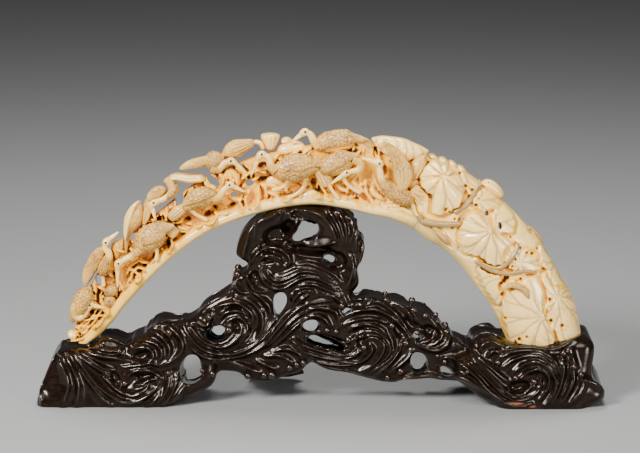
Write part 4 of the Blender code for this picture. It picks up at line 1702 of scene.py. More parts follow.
HERONS = (
    Heron("a", -0.45, (89.6, 305.2), ((93, 305.6), (105, 308.0)),
          ((76, 303), (74, 311), (77, 318), (83.5, 315)),
          ((90, 286, 3), (85, 295, 8.5), (79, 306, 9), (73, 317, 5), (70.5, 324, 1.8)),
          wing=((91, 288, 3), (88, 296, 6), (84, 306, 5), (83, 313, 2.4))),
    Heron("b", -0.35, (106.6, 242.6), ((110, 239), (119.4, 231.8)),
          ((103, 268), (109, 260), (109, 253), (105.5, 248)),
          ((107, 252, 3), (107, 260, 6.5), (104, 269, 7), (103, 277, 3)),
          legs=(((103, 272), (103, 279), (103.6, 287)),),
          wing=((103, 247, 3), (98, 255, 5.5), (92, 265, 6), (87, 276, 4.6),
                (84.5, 286, 1)), wing_spread=True),
    Heron("d", -0.95, (119.6, 263.4), ((118.5, 267.5), (118.3, 287.5)),
          ((142, 249), (134.5, 255.0), (127.5, 258.4)),
          ((136, 253, 4.5), (144, 244, 11), (154, 236, 13), (165, 229, 8),
           (171, 231, 3.5)),
          legs=(((156, 246), (158, 252), (157, 261)),),
          tail=((165, 228.5, 3), (172, 231, 5.5), (177.5, 235.5, 4.6)),
          wing=((145, 243, 3), (151, 236, 8.5), (160, 230, 8.5), (170, 227, 4))),
    Heron("e", -0.30, (154.6, 202.9), ((152.6, 207.0), (157, 222.3)),
          ((167.5, 178), (171.5, 184), (173, 191), (167, 197.5)),
          ((176, 183, 3), (174, 191, 4.5), (165, 199, 3)),
          wing=((167, 189, 2.4), (160, 191.5, 5.5), (153, 196, 4.5), (148, 200.5, 1)),
          wing_spread=True),
    Heron("g", -0.95, (230.7, 185.6), ((234.4, 186.8), (245.6, 192.2)),
          ((213, 200), (220, 197.5), (225, 190.5)),
          ((219, 198, 4.5), (210, 197, 9.5), (199, 199, 10.8), (189, 206, 6.5),
           (183, 210, 3.5)),
          tail=((188, 206, 3.5), (179, 212, 5.2), (170.5, 219.5, 3.8)),
          legs=(((190, 207), (197, 214.5), (209, 220.6)),),
          wing=((214, 194, 3), (206, 194, 6.5), (196, 197, 7), (188, 203, 3))),
    Heron("h", -0.40, (231.8, 161.7), ((235.4, 163), (250.5, 175.8)),
          ((212, 168), (219, 170), (225, 164)),
          ((226, 158, 3), (215, 161, 9.5), (205, 166, 4)),
          wing=((212, 159, 3), (202, 162.5, 4.8), (190, 165.5, 3.8), (180.5, 169.7, 0.8)),
          wing_spread=True),
    Heron("k", -1.05, (262.6, 155.6), ((258.8, 159.6), (252.4, 175.8)),
          ((277, 172), (271.8, 166.5), (269.5, 159.0)),
          ((271, 173, 4.5), (281, 171.5, 10), (294, 169.5, 14), (307, 167.5, 11),
           (317, 168, 5), (323, 172, 2.5)),
          legs=(((306, 178), (305, 186), (297, 194), (287, 198.8)),
                ((290, 180), (284, 187), (272, 191))),
          tail=((314, 163, 5), (323, 173, 8), (329, 187, 6.5)),
          wing=((282, 171, 3), (290, 165, 8.5), (302, 162, 9.5), (313, 162.5, 6),
                (321, 165, 2)), body_half_depth=8.0 * MM),
    Heron("m", -0.30, (305.3, 133.2), ((301.0, 135.6), (291.3, 143.7)),
          ((319, 149), (314, 142), (310.5, 135.5)),
          ((316, 150, 4), (326, 144, 10.5), (342, 142, 11), (357, 143, 7)),
          tail=((350, 141, 5), (361, 147, 9.5), (370, 154, 8)),
          wing=((320, 148, 3), (330, 141, 7.5), (345, 138.5, 7.5), (360, 140, 3))),
    Heron("n", -1.00, (346.4, 173.4), ((342, 176.1), (330, 184.8)),
          ((352, 160), (359.5, 164), (358, 170), (352, 171.6)),
          ((321, 174, 4), (328, 168, 10), (341, 163, 10.5), (354, 159, 6)),
          legs=(((328, 176), (330, 187), (339, 200.5)), ((341, 172), (347, 185), (361, 193.8))),
          wing=((322, 176, 2.4), (329, 166, 6.5), (341, 159, 7), (353, 157, 3))),
    Heron("o", -1.25, (378.5, 164.8), ((374, 163), (361, 159)),
          ((387, 189), (381, 181), (378.8, 171)),
          ((380.5, 178, 4), (386, 187, 7), (395, 194, 8.5), (405, 198.5, 8),
           (414, 203, 4)),
          legs=(((407, 200), (412, 206), (415, 213.6), (421, 220.6)),),
          tail=((409, 190, 6), (419, 196, 9), (425.5, 205, 8.5), (422, 214, 4)),
          wing=((382, 143, 1.4), (390, 151, 4.4), (398, 163, 7.5), (402, 176, 9),
                (401, 186, 6), (396, 191, 2.4)), wing_spread=True),
)


@dataclass(frozen=True)
class Blade:
    """A wing, leaf, bud or pod that stands clear of the ground."""

    name: str
    run: Run
    depth: float
    half_depth: float
    ribs: int = 9
    rib_height: float = 0.5 * MM
    surface: Surface = Surface.RIBBED

    def _relief(self) -> Field | None:
        """How its surface is carved.

        Returns:
            The height for each share round and along, or None for a smooth piece.
        """
        if self.surface is Surface.FEATHERED:
            quills = long_ribs(self.ribs, self.rib_height, 0.3)
            return feathers_then_quills(feathers(8, 16, 0.35 * MM), quills, 0.35, 0.6)
        if self.surface is Surface.FOLDED:
            return cross_folds(self.ribs, self.rib_height)
        return long_ribs(self.ribs, self.rib_height) if self.rib_height else None

    def build(self) -> list[bpy.types.Object]:
        """Makes it on each side that it is carved on.

        Returns:
            One piece for each side.
        """
        plume = 0.8 if self.surface is Surface.FEATHERED else 0.0
        return [sweep(self.name,
                      rows_of(self.run, -face.value * self.depth * FIGURE_DEPTH, self.half_depth),
                      40, 52, self._relief(), 0.16, plume=plume)
                for face in faces_at(self.depth)]


BLADES = (
    Blade("knob", ((66, 336, 3), (70.5, 335.6, 5.4), (75, 338, 3.4)), -0.3, 4.8 * MM, 1,
          0.0),
    Blade("chick_above", ((117, 287, 2.6), (111, 291, 5.6), (105, 295, 3)), -0.75, 3.6 * MM,
          5, 0.2 * MM, Surface.FEATHERED),
    Blade("chick_below", ((114, 297, 2.6), (109, 301.5, 5.4), (104, 306, 2.6)), -0.7,
          3.4 * MM, 5, 0.2 * MM, Surface.FEATHERED),
    Blade("lotus_bud", ((140, 200.5, 1.0), (138, 208, 5.5), (134, 219, 8.5),
                        (129.5, 230, 4.6), (127, 243, 2.2), (126.3, 255, 1.2)), -0.5,
          5.0 * MM, 5, 0.35 * MM, Surface.FEATHERED),
    Blade("bud_fold", ((140.3, 200.5, 0.8), (134, 208, 2.4), (129.5, 218, 3.6),
                       (127, 229, 2.4), (126, 240, 1.0)), -0.85, 2.6 * MM, 3, 0.2 * MM),
    Blade("pod_behind_bud", ((149, 197, 2.6), (149.5, 206, 5.5), (147, 217, 5.5),
                             (143, 227, 2.6)), -0.1, 7.0 * MM, 7, 0.7 * MM, Surface.FEATHERED),
    Blade("rear_heron_back", ((124, 238, 2.4), (119, 247, 7.5), (113, 259, 4)), 0.0,
          6.5 * MM, 9, 0.4 * MM, Surface.FEATHERED),
    Blade("wing_on_edge", ((167, 180.5, 2.4), (176, 177, 3.2), (190, 178.6, 4.2),
                           (202, 178.6, 3.8), (207, 181.5, 1.2)), -0.2, 9.5 * MM, 6,
          0.35 * MM),
    Blade("fan_wing", ((223, 156, 3), (235, 150, 8.5), (247, 145.5, 5.5),
                       (256, 142.5, 2.4)), -0.3, 6.0 * MM, 13, 0.8 * MM, Surface.FEATHERED),
    Blade("fan_wing_loop", ((254, 142, 2), (261, 144, 2.4), (264, 150, 2)), -0.3,
          4.0 * MM, 3, 0.2 * MM),
    Blade("seed_pod", ((270.5, 150.5, 3.2), (270.6, 145, 6.2), (270.6, 139, 8.6),
                       (270.6, 133.6, 9.2)), -0.1, 7.0 * MM, 11, 0.9 * MM),
    Blade("small_pod", ((281, 142.5, 2.5), (287, 141, 3.4), (293, 143, 2)), 0.1, 5.0 * MM,
          6),
    Blade("leaf_behind_heron", ((276, 153, 3), (285, 151, 8), (298, 150, 9),
                                (307, 149, 5)), 0.0, 6.0 * MM, 3, 0.3 * MM),
    Blade("back_wing", ((424.5, 155.5, 1.4), (420, 162, 6), (415, 171, 7.5),
                        (411, 181, 4.5)), -0.95, 5.0 * MM, 9, 0.7 * MM, Surface.FEATHERED),
    Blade("folded_leaf", ((371, 139, 2.5), (382, 143.5, 7.5), (394, 148.5, 11.2),
                          (405, 151.5, 11.4), (416, 152, 7.6), (428, 151.5, 2.2)), -0.55,
          8.5 * MM, 6, 1.0 * MM, Surface.FOLDED),
    Blade("orange_scoop", ((266, 183, 3), (276, 181, 6), (288, 186, 4)), -0.62, 3.0 * MM,
          3, 0.3 * MM),
    Blade("pale_mound", ((298, 200, 3.6), (309, 196.5, 7.6), (321, 200, 4)), -0.80,
          4.4 * MM, 1, 0.0),
    Blade("ruffled_rim", ((426, 156, 1.2), (432, 157, 2.5), (438.5, 161, 1.2)), 0.0,
          7.0 * MM, 5, 0.5 * MM),
    Blade("ruffled_rim", ((437, 158.6, 1.2), (443, 160.6, 2.6), (448, 164.5, 1.2)), 0.0,
          8.0 * MM, 5, 0.5 * MM),
    Blade("ruffled_rim", ((447, 161.8, 1.2), (452, 164.2, 2.6), (457, 168, 1.2)), 0.0,
          8.0 * MM, 5, 0.5 * MM),
    Blade("ruffled_rim", ((456, 166, 1.2), (461, 169, 2.4), (466, 173, 1.0)), 0.0,
          8.0 * MM, 5, 0.5 * MM),
    Blade("flower_spike", ((430, 223.5, 1.4), (436, 230, 3.6), (443, 238, 3.6),
                           (449, 245, 1.2)), -1.38, 3.4 * MM, 5, 0.3 * MM, Surface.FEATHERED),
    Blade("curled_leaf_edge", ((502.5, 289, 1.0), (508.5, 285, 2.5), (516, 285.6, 3.0),
                               (523, 290, 3.0), (527.5, 298, 2.0)), -2.14, 2.4 * MM, 5,
          0.3 * MM, Surface.FEATHERED),
    Blade("upper_frog", ((479, 187, 3), (487, 185, 5.6), (495, 190, 5.4), (502, 197, 3)),
          -0.1, 6.5 * MM, 7, 0.6 * MM),
    Blade("lower_frog", ((519, 228, 2.5), (527, 232, 6.4), (536, 239, 5.4),
                         (542, 246, 2.5)), 0.0, 6.5 * MM, 9, 0.6 * MM, Surface.FEATHERED),
    Blade("frog_leaf_back", ((524, 226, 2.0), (526, 234, 4.2), (531, 244, 3.4),
                             (535, 249, 1.4)), -0.55, 3.2 * MM, 5, 0.4 * MM, Surface.FEATHERED),
)
SMALL_EYES = (((106.8, 292.2), -0.75 * FIGURE_DEPTH - 3.4 * MM), ((109.0, 301.2), -12.6 * MM),
              ((487.0, 182.6), -6.4 * MM), ((530.0, 229.0), -6.0 * MM))
@dataclass(frozen=True)
class PatinaAndShade:
    """The dark colour in hollows, partly amber patina and partly painted shade, worked out from how
    much carving is near.
    """

    cell: float = 1.0 * MM
    margin: int = 16
    close_brush: float = 1.3
    close_ahead: float = 2.2 * MM
    far_brush: float = 3.2
    far_ahead: float = 5.5 * MM
    darkest: float = 1.1

    @staticmethod
    def _soften(grid: Array, spread: float) -> Array:
        """Blurs a grid with a round brush.

        Args:
            grid: The grid.
            spread: How many cells wide the brush is.

        Returns:
            The blurred grid.
        """
        for axis, size in enumerate(grid.shape):
            turns = np.fft.rfftfreq(size)
            brush = np.exp(-2.0 * (math.pi * spread * turns) ** 2)
            shape = [1, 1, 1]
            shape[axis] = -1
            grid = np.fft.irfft(np.fft.rfft(grid, axis=axis) * brush.reshape(shape), size, axis)
        return grid

    def write(self, pieces: Sequence[bpy.types.Object]) -> None:
        """Writes the mark "hollow", from 0 in the open to 1 in a deep pit; it is partly patina and
        partly painted shade.

        Args:
            pieces: The pieces, which shade each other.
        """
        centres = np.vstack([read_rows(piece.data.polygons, "center") for piece in pieces])
        areas = np.empty(len(centres))
        first = 0
        for piece in pieces:
            last = first + len(piece.data.polygons)
            part = np.empty(last - first)
            piece.data.polygons.foreach_get("area", part)
            areas[first:last], first = part, last
        low = centres.min(0) - self.margin * self.cell
        size = np.ceil((centres.max(0) - low) / self.cell).astype(int) + self.margin
        size += size % 2
        flat = np.ravel_multi_index(((centres - low) / self.cell).astype(int).T, size)
        grid = np.bincount(flat, areas, size.prod()).reshape(size) / self.cell ** 2
        blurred = (self._soften(grid, self.close_brush), self._soften(grid, self.far_brush))
        for piece in pieces:
            points, normals = points_of(piece), normals_of(piece)
            close, far = (
                part[tuple(np.clip(((points + normals * ahead - low) / self.cell).astype(int),
                                   0, size - 1).T)]
                for part, ahead in zip(blurred, (self.close_ahead, self.far_ahead)))
            # Much carving near a point darkens it: patina gathers there, and shade is painted there
            # too.
            shade = 0.55 * ease(0.10, 0.62, close) + 0.60 * ease(0.09, 0.34, far)
            stain = piece.data.attributes.get("stain")
            if stain:
                stained = np.empty(len(shade), np.float32)
                stain.data.foreach_get("value", stained)
                shade = np.maximum(shade, stained)
            stamp(piece, "hollow", np.clip(shade, 0.0, self.darkest))


ROUNDING_STEPS = 4


@dataclass(frozen=True)
class Slab:
    """A board of the stand, with a rounded edge, that gets thinner towards its top."""

    name: str
    outline: tuple[Place, ...]
    half_depth: float
    rounding: float
    narrowing: float

    def build(self) -> bpy.types.Object:
        """Makes the board from its outline.

        Returns:
            The board.
        """
        drawing = bpy.data.curves.new(self.name, "CURVE")
        drawing.dimensions = "2D"
        drawing.fill_mode = "BOTH"
        outline = rounded(self.outline, 3 * len(self.outline))
        line = drawing.splines.new("POLY")
        line.points.add(len(outline) - 1)
        line.use_cyclic_u = True
        for point, there in zip(line.points, place(outline)):
            point.co = (there[0], there[2], 0.0, 1.0)
        drawing.extrude = self.half_depth - self.rounding
        drawing.bevel_depth = self.rounding
        drawing.bevel_resolution = ROUNDING_STEPS
        drawing.offset = -self.rounding
        piece = bpy.data.objects.new(self.name, drawing)
        bpy.context.scene.collection.objects.link(piece)
        pick(piece)
        bpy.ops.object.convert(target="MESH")
        flat = points_of(piece)
        depth = flat[:, 2] * (1.0 - self.narrowing * flat[:, 1])
        move_points(piece, np.stack([flat[:, 0], TUSK_PLANE_Y + depth, flat[:, 1]], 1))
        return piece


@dataclass(frozen=True)
class Ridge:
    """One carved fold or rib of the waves: its line, and its half width in steps."""

    line: tuple[Place, ...]
    half_width: float


FEET_AND_ARM = (
    Slab("left_foot", (
        (59, 346), (55, 351), (49, 364), (42, 381), (35, 393), (36, 402), (44, 410), (100, 410),
        (150, 409), (166, 405), (173, 401), (181, 397), (194, 391), (208, 384), (214, 379),
        (218, 368), (216, 345), (207, 326), (191, 317), (176, 319), (159, 319), (148, 325),
        (144, 330), (133, 333.5), (129, 338), (125, 342), (119, 338.5), (110, 335.5), (99, 335),
        (93, 342), (76, 345)), 0.032, 0.009, 5.5),
    Slab("arm", (
        (170, 330), (178, 320), (188, 316), (201, 307), (211, 300), (224, 293), (231, 285),
        (231.5, 275), (235, 270), (245, 268), (248, 263), (243, 257), (235, 253), (236.5, 242),
        (241, 231), (249, 221), (258, 215), (268, 208), (280, 203.5), (300, 202.5), (324, 204),
        (336, 207), (346, 211), (352, 217), (357, 224), (359, 232), (362.6, 238), (362.6, 248),
        (359.4, 262), (358, 268), (360.5, 277), (359, 284), (353, 291), (352, 297), (358, 299),
        (364, 295), (373, 293), (384, 296.5), (399, 299), (407, 303), (417, 305), (424, 309),
        (431, 315), (441, 320), (446, 328), (452, 332), (460, 338), (470, 345), (500, 362),
        (500, 397), (493, 397), (480, 391), (469, 383), (459, 380), (441, 378.5), (430, 376.5),
        (415, 378), (404, 377.5), (397, 381), (383, 380.5), (368, 377), (356, 373.6), (336, 368),
        (323, 365), (313, 360), (307, 364), (301, 370), (291, 373.5), (283, 375), (276, 379.5),
        (266, 381.5), (252, 380), (244, 376), (238, 371), (228, 369.7), (216, 370), (206, 380),
        (190, 388), (170, 390)), 0.019, 0.006, 1.6),
    Slab("right_foot", (
        (468, 346), (472, 337), (479, 332), (487, 331), (497, 334), (506, 336), (540, 335),
        (570, 332), (585, 330.5), (592, 333), (595.5, 341), (594, 355), (593, 371),
        (601, 376.5), (606.4, 386), (604.5, 392), (597, 397), (588, 400), (580, 409),
        (540, 410), (507, 408), (494, 398), (479, 391), (466, 381), (455, 372), (456, 352)),
         0.037, 0.009, 4.5),
)
# See-through holes in the stand.
STAND_HOLES = (
    ((188, 357), (197, 357), (200, 367), (200, 376), (193, 382), (185, 382), (181, 374),
     (182, 365)),
    ((208, 331), (222, 327), (225, 336), (217, 341), (210, 337)),
    ((275, 297), (284, 294), (285, 303), (276, 315)),
    ((292.3, 239.3), (297.6, 232.8), (301, 226), (303.9, 220.3), (310, 221), (315.5, 224.8),
     (317.3, 228.5), (316.4, 233), (313.7, 237.3), (304.8, 238.6)),
    ((303, 327), (310, 323), (317, 324), (312, 331)),
    ((306, 341), (311, 337), (328, 343), (346, 348), (337, 350), (320, 346)),
    ((412, 356), (422, 355), (427, 362), (426, 370), (415, 373)),
    ((441, 368), (450, 369), (455, 376), (443, 375)),
    ((324, 258), (327.8, 256), (331.6, 258), (332, 262), (327.8, 264), (324, 262)),
    ((341, 312), (345, 308.6), (352, 309), (351, 313.6), (344, 314)),
    ((412.7, 335), (417, 332.8), (421, 337), (419.8, 340.5), (415, 339)),
)
# Swollen places under the swirls: place, half width, half height and half depth in steps.
SWELLINGS = (
    ((229, 333), 40, 27, 30), ((368, 344), 42, 30, 29), ((530, 376), 40, 27, 49),
    ((140, 384), 32, 18, 45), ((145, 356), 20, 14, 38), ((318, 232), 40, 26, 24),
    ((272, 258), 22, 12, 25), ((300, 290), 44, 14, 26), ((568, 360), 24, 24, 46),
    ((545, 357), 44, 25, 52),
)
# Where the wood is bare under the right foot: place, half width and half height.
WORN_PATCHES = (((515.5, 403.6), 7.0, 2.0), ((523.0, 404.8), 3.0, 1.3),
                ((532.0, 406.0), 2.4, 1.2))
# The rear leg: place, half width in steps, then half depth and depth in metres.
REAR_LEG = (((298, 338), 20, 0.014, 0.004), ((290, 343), 22, 0.013, 0.018),
            ((281, 351), 23, 0.012, 0.031), ((276, 363), 25, 0.011, 0.041),
            ((275, 378), 27, 0.010, 0.046))
REAR_TOE = ((243, 380, 4), (257, 374, 10), (275, 372, 12), (293, 374, 10),
            (306, 380, 4))
RIDGES = (
    # The left foot.
    Ridge(((59, 349), (52, 362), (45, 377), (40, 390), (42, 402)), 3.2),
    Ridge(((57.2, 352), (61, 362.7), (67, 374), (69, 385), (66, 396), (64, 406)), 4.4),
    Ridge(((64, 352), (70, 362), (76, 373), (79.5, 385), (79, 396), (77, 406)), 4.2),
    Ridge(((82.5, 370.9), (88, 379), (93.4, 385.4), (98.8, 392.6), (104.3, 399),
           (111.5, 404.4)), 3.8),
    Ridge(((66, 348), (74, 355), (82, 364), (90.7, 375.4), (97, 383.6), (105.2, 390.8),
           (114.2, 397.1), (123.3, 401.7), (132.4, 401.7), (141.4, 399), (150.5, 393.5),
           (156.8, 387.2), (158.6, 381)), 4.0),
    Ridge(((63, 344.6), (72.6, 351.4), (80.7, 356.4), (88, 361.4), (96.3, 366.3),
           (104.3, 371.8), (109.7, 375.4)), 3.6),
    Ridge(((74.4, 347.3), (80.7, 350), (88, 352.8), (97, 354.6), (105.2, 356.4),
           (114.2, 357.3), (123.3, 359.1), (130.5, 360.9)), 3.6),
    Ridge(((88, 356.4), (93.4, 361.4), (99.7, 365.4), (106, 368.6), (112, 370)), 2.6),
    Ridge(((104, 377), (109.7, 382), (116, 388.2), (123.3, 392.7), (132.4, 395.4),
           (140.5, 392.7), (146.8, 388), (150, 382)), 3.2),
    Ridge(((127.7, 377.4), (131.4, 372.2), (140.5, 369.4), (150.5, 370.4), (156.8, 373.6),
           (161, 377.8)), 3.0),
    Ridge(((136.9, 384.2), (143.2, 384.2), (147.8, 380.4), (154, 378.6), (160.4, 378.6)), 2.4),
    Ridge(((122.4, 366.8), (134.2, 365.2), (143.2, 364.2), (151.4, 362.4), (158.6, 365),
           (163, 365)), 2.4),
    Ridge(((130.6, 348.8), (137.8, 347.4), (146.8, 346.8), (152.3, 350.6), (154, 355.5),
           (151.4, 360.2), (147, 363)), 3.2),
    Ridge(((144, 340), (155, 342.8), (161.3, 348.2), (162.6, 355.5), (158, 361.5)), 3.4),
    Ridge(((146, 330), (157, 333), (166.5, 341), (170.4, 350), (168, 360)), 3.4),
    Ridge(((158, 320.5), (169, 326), (176, 332.4), (181, 337), (183.2, 343.5), (182.4, 350),
           (178, 356), (171, 361), (164, 363)), 3.6),
    Ridge(((160.4, 390.8), (158.6, 395.3), (154, 400.8), (146.8, 406.2)), 3.2),
    Ridge(((170.4, 375.2), (168.6, 386.3), (165, 394), (158, 403)), 3.4),
    Ridge(((177.2, 376.2), (175.3, 385), (171, 395), (163, 405)), 3.4),
    Ridge(((185, 385), (180, 392), (172, 400.8)), 3.0),
    Ridge(((128, 343), (121, 349), (112, 351), (100, 349), (90, 348)), 3.0),
    Ridge(((99, 338), (110, 338.5), (119, 342), (126, 346)), 3.2),
    # The swirl at the left of the arm.
    Ridge(((183.2, 323.8), (186.5, 331.1), (191.8, 338.4), (197.1, 344.4), (203.1, 349),
           (213, 353), (226.3, 354.3), (236.3, 353), (246.2, 349.7), (252.8, 345.7),
           (262, 339.4), (270, 330)), 3.4),
    Ridge(((186.5, 336), (189.6, 344.4), (193.6, 349.4), (203.1, 356.2), (213, 358.6),
           (223.7, 358.8), (233, 357.8), (242.9, 355.4), (252.8, 351.6), (262, 346)), 2.8),
    Ridge(((190.5, 326.5), (195.8, 333.1), (201.1, 339.1), (206.4, 343), (213, 345.7),
           (219.7, 347), (226.3, 345.7), (232.3, 342.4), (238.2, 337.1), (241.2, 332),
           (241.6, 325.8), (237, 320.6)), 3.4),
    Ridge(((199.1, 330.4), (203.1, 335.8), (208.4, 340.4), (215, 343), (221.7, 342.7),
           (228.3, 339.7), (232.9, 335.1), (235.6, 330.4), (234.6, 324.8)), 2.4),
    Ridge(((224.3, 325), (229.6, 319.6), (237.6, 316.8), (243, 319.2), (246.8, 323.6),
           (247.4, 329), (245.5, 335.4), (242.2, 341.4)), 3.2),
    Ridge(((219, 319.8), (223, 314.6), (228.3, 311.5), (234.3, 310.6), (241, 311.5),
           (246.6, 314.6)), 2.6),
    Ridge(((214, 308.6), (221, 305), (226.3, 303.8), (232.9, 302.6), (239.6, 303.4),
           (245.5, 307.2), (250.8, 312), (253.4, 317), (251.5, 322.5)), 3.6),
    Ridge(((191.8, 321.5), (199, 323.8), (207, 326), (209.7, 320.2), (212.6, 314.5)), 2.6),
    Ridge(((246.9, 343.6), (254.2, 340.4), (260, 334), (263, 325), (262, 314),
           (255, 304), (246, 299), (236, 297.4)), 3.4),
    Ridge(((253, 292), (262, 298), (269.6, 307), (271, 316)), 3.2),
    Ridge(((201, 310), (211, 302), (221, 297), (231, 291)), 3.2),
    Ridge(((184, 318.8), (176, 320.4), (164, 321), (152, 327)), 3.0),
    # The column: the shell at its left, the flames in the cave, and the smooth sheet.
    Ridge(((254.8, 238), (255.7, 226), (262, 220.3), (271, 217.2), (277.6, 212.3),
           (282.5, 209.2)), 3.4),
    Ridge(((243, 258), (246, 245), (250, 232), (257, 221)), 3.4),
    Ridge(((279, 222), (281, 215), (285, 210), (287, 218)), 2.2),
    Ridge(((294, 220), (289.6, 217), (291, 212), (296, 209.5), (303, 211)), 2.2),
    Ridge(((291, 228), (295, 226), (298, 221)), 2.0),
    Ridge(((303, 210), (313.7, 212.7), (322.6, 216.8), (329, 224), (333.4, 232),
           (336.5, 241)), 4.4),
    Ridge(((337, 241.8), (326.2, 243.4), (313.7, 245.5), (304, 243.5)), 3.4),
    Ridge(((325.3, 205.1), (330.7, 214.1), (336.9, 224.8), (341.4, 236.4), (343.2, 244)), 3.0),
    Ridge(((332.5, 206.5), (338.7, 213.2), (344, 223), (346.5, 233.7), (346, 244)), 2.8),
    Ridge(((342.3, 208.7), (348.5, 215), (352.1, 222.1), (353, 232), (349.4, 244)), 2.8),
    Ridge(((356.6, 219), (355.3, 230), (356.2, 250.7)), 2.8),
    Ridge(((361, 235.5), (362, 246.2), (359.3, 260.5), (356.6, 266)), 2.8),
    Ridge(((351.2, 257), (353, 266), (350.3, 278.4), (346.8, 287.3)), 3.4),
    Ridge(((252.1, 262), (255, 256), (260, 251), (266, 248.2), (275, 247.4), (283.4, 250.7),
           (288.7, 256), (290.5, 262.3), (286.9, 265)), 2.9),
    Ridge(((259.5, 261), (263, 257), (268, 255.2), (274, 255.6), (281.6, 258.7)), 2.4),
    Ridge(((260.1, 268), (260.6, 274.8), (263.7, 281), (270, 286.4), (277.1, 288.9),
           (285.1, 287.3), (294, 281.9), (299.4, 278.8), (308, 276.6), (319, 278.5),
           (330, 284.5), (338, 291)), 2.8),
    Ridge(((266, 271), (270, 277), (276.2, 280.6), (283.4, 279.7), (292.3, 276.1),
           (299.4, 271.6), (308.4, 271.4), (319.1, 273.9), (329.8, 280.1), (336, 284.6)), 2.2),
    Ridge(((278, 276.5), (285.1, 275.2), (294, 270.8), (302.1, 267.8), (313.7, 269.2),
           (324.4, 273.2), (333.4, 279.4)), 2.2),
    Ridge(((297.6, 264.8), (308.4, 263.8), (317.3, 266), (327.1, 270.2), (336, 275.8),
           (341.4, 282.6)), 2.4),
    Ridge(((299.4, 285.5), (306.6, 283.7), (315.5, 284.6), (324.4, 288.2), (334.3, 292.6),
           (339.6, 295.3)), 2.6),
    Ridge(((292.3, 305.1), (294, 298.9), (299.4, 292.6), (306.6, 290), (312.8, 290.9)), 2.6),
    Ridge(((295.5, 306), (300, 300), (307, 295.5)), 2.2),
    Ridge(((324.4, 294.4), (333.4, 296.2), (339.6, 299.8), (343.5, 305), (343, 312)), 2.8),
    Ridge(((233.4, 281), (236, 287.3), (241.4, 291.8), (247.6, 293.1)), 3.2),
    Ridge(((246.8, 274.8), (249.4, 281), (253.9, 289.1), (261.9, 291.6), (268.2, 290.5)), 3.2),
    # The middle: the folds that sweep down to the left, the long tail and the hanging leaf.
    Ridge(((266.4, 318), (263.7, 330.2), (257.5, 340), (245.9, 343.6)), 3.2),
    Ridge(((228, 356.5), (241.4, 356), (254.8, 350.7), (265.5, 343.6), (272.6, 334.6),
           (280.7, 325.7), (288.7, 316.8), (297.6, 308.8), (308.4, 303.4), (319, 301.6),
           (331, 300)), 2.8),
    Ridge(((232, 352), (246, 348), (259, 340), (268, 329), (274.4, 320)), 2.4),
    Ridge(((266.4, 346.3), (274.4, 340), (281.6, 332), (288.7, 323.9), (297.6, 316.2),
           (304.8, 311.6)), 2.2),
    Ridge(((275, 345.6), (285.1, 336.4), (292.3, 329.3), (301.2, 322), (308.4, 318.4)), 2.2),
    Ridge(((305.7, 313), (310.1, 308.8), (319.1, 307.4), (328.9, 308.8), (336, 311.4),
           (338.7, 317.7), (339.6, 327)), 2.8),
    Ridge(((309, 316.5), (317, 315), (325, 319), (330, 326)), 2.4),
    Ridge(((290.5, 340), (295.9, 347), (306.6, 353), (321.8, 357.6), (335.1, 359.4),
           (351.2, 357), (360.1, 351.5)), 2.4),
    Ridge(((294, 338.2), (302, 345), (312.8, 349), (326.2, 353), (341, 355.6), (351.2, 353),
           (356.6, 348)), 2.0),
    Ridge(((293, 345.6), (303, 355), (317.3, 362), (335.1, 365.2), (353, 364.6), (366, 358)), 2.4),
    Ridge(((311, 360.5), (326.2, 367), (344, 370.5), (356, 372)), 2.4),
    Ridge(((228, 360.6), (239.6, 365), (250, 368.5), (258.4, 373)), 3.0),
    Ridge(((257.5, 361.4), (265.5, 364.6), (275, 369)), 3.0),
    Ridge(((265.5, 357), (274.4, 355.2), (285.1, 357.6), (292, 363)), 2.8),
    Ridge(((272.6, 352.6), (279.8, 349.4), (288.7, 349), (298.5, 353), (303, 359)), 2.8),
    # The swirl at the right of the arm.
    Ridge(((341.7, 318.5), (347.1, 314.6), (355.7, 311.1), (364.2, 309.4), (375.1, 309.1),
           (386, 313), (396, 320), (404, 328.6), (411, 339)), 3.4),
    Ridge(((343.2, 325.5), (350.2, 321.6), (359.6, 319), (368.9, 318.4), (378.3, 319.4),
           (386, 323)), 2.4),
    Ridge(((349, 330.5), (352.6, 327), (359.6, 324.7), (365, 323.9), (372, 324.7),
           (378.3, 327), (383.4, 330.9), (387.4, 336)), 2.4),
    Ridge(((351, 341), (354.9, 336.9), (361.1, 332.3), (368.9, 330.7), (376.7, 331.9),
           (382.9, 335.8), (388.4, 342), (390.7, 350.4), (386.6, 357.6), (379.8, 363),
           (372.6, 367.5)), 3.2),
    Ridge(((364, 343.4), (366.6, 339.5), (370.5, 337.5), (375.9, 337.9), (380.6, 340.3),
           (384.3, 345.5), (382.1, 353.3), (378.3, 359.5), (372, 365.9), (365, 369.8),
           (358.8, 373)), 3.2),
    Ridge(((370.5, 344.1), (372.4, 348.8), (370.5, 353.5), (364.2, 360), (358, 364)), 2.6),
    Ridge(((359.6, 349.9), (356.5, 354), (350, 358)), 2.6),
    Ridge(((393, 331.7), (396.4, 339), (397, 347), (393.4, 355), (386, 362.4), (378, 368.4),
           (370, 373)), 3.2),
    Ridge(((401, 344.5), (398.4, 352.1), (393.7, 359.2), (387.5, 366.2), (380.4, 371.8),
           (373, 376)), 3.0),
    Ridge(((411.7, 350.9), (408.6, 357.4), (402.4, 363), (396.9, 367), (389, 373)), 3.0),
    Ridge(((351, 300), (360, 299), (368.9, 300), (373.6, 299)), 3.0),
    Ridge(((364.2, 307.3), (368.9, 302.9), (378.2, 301.4), (389.1, 308), (398.5, 316.5),
           (404.7, 325.2), (410.2, 334), (415, 341)), 2.8),
    Ridge(((388, 299.6), (396, 303.5), (404, 308), (410.6, 315), (412.4, 323)), 3.0),
    Ridge(((330, 350.4), (341.7, 355), (351, 355.4), (358, 351.9)), 2.6),
    Ridge(((330, 358.4), (340.1, 361.6), (351.8, 363), (361.1, 361.4)), 2.4),
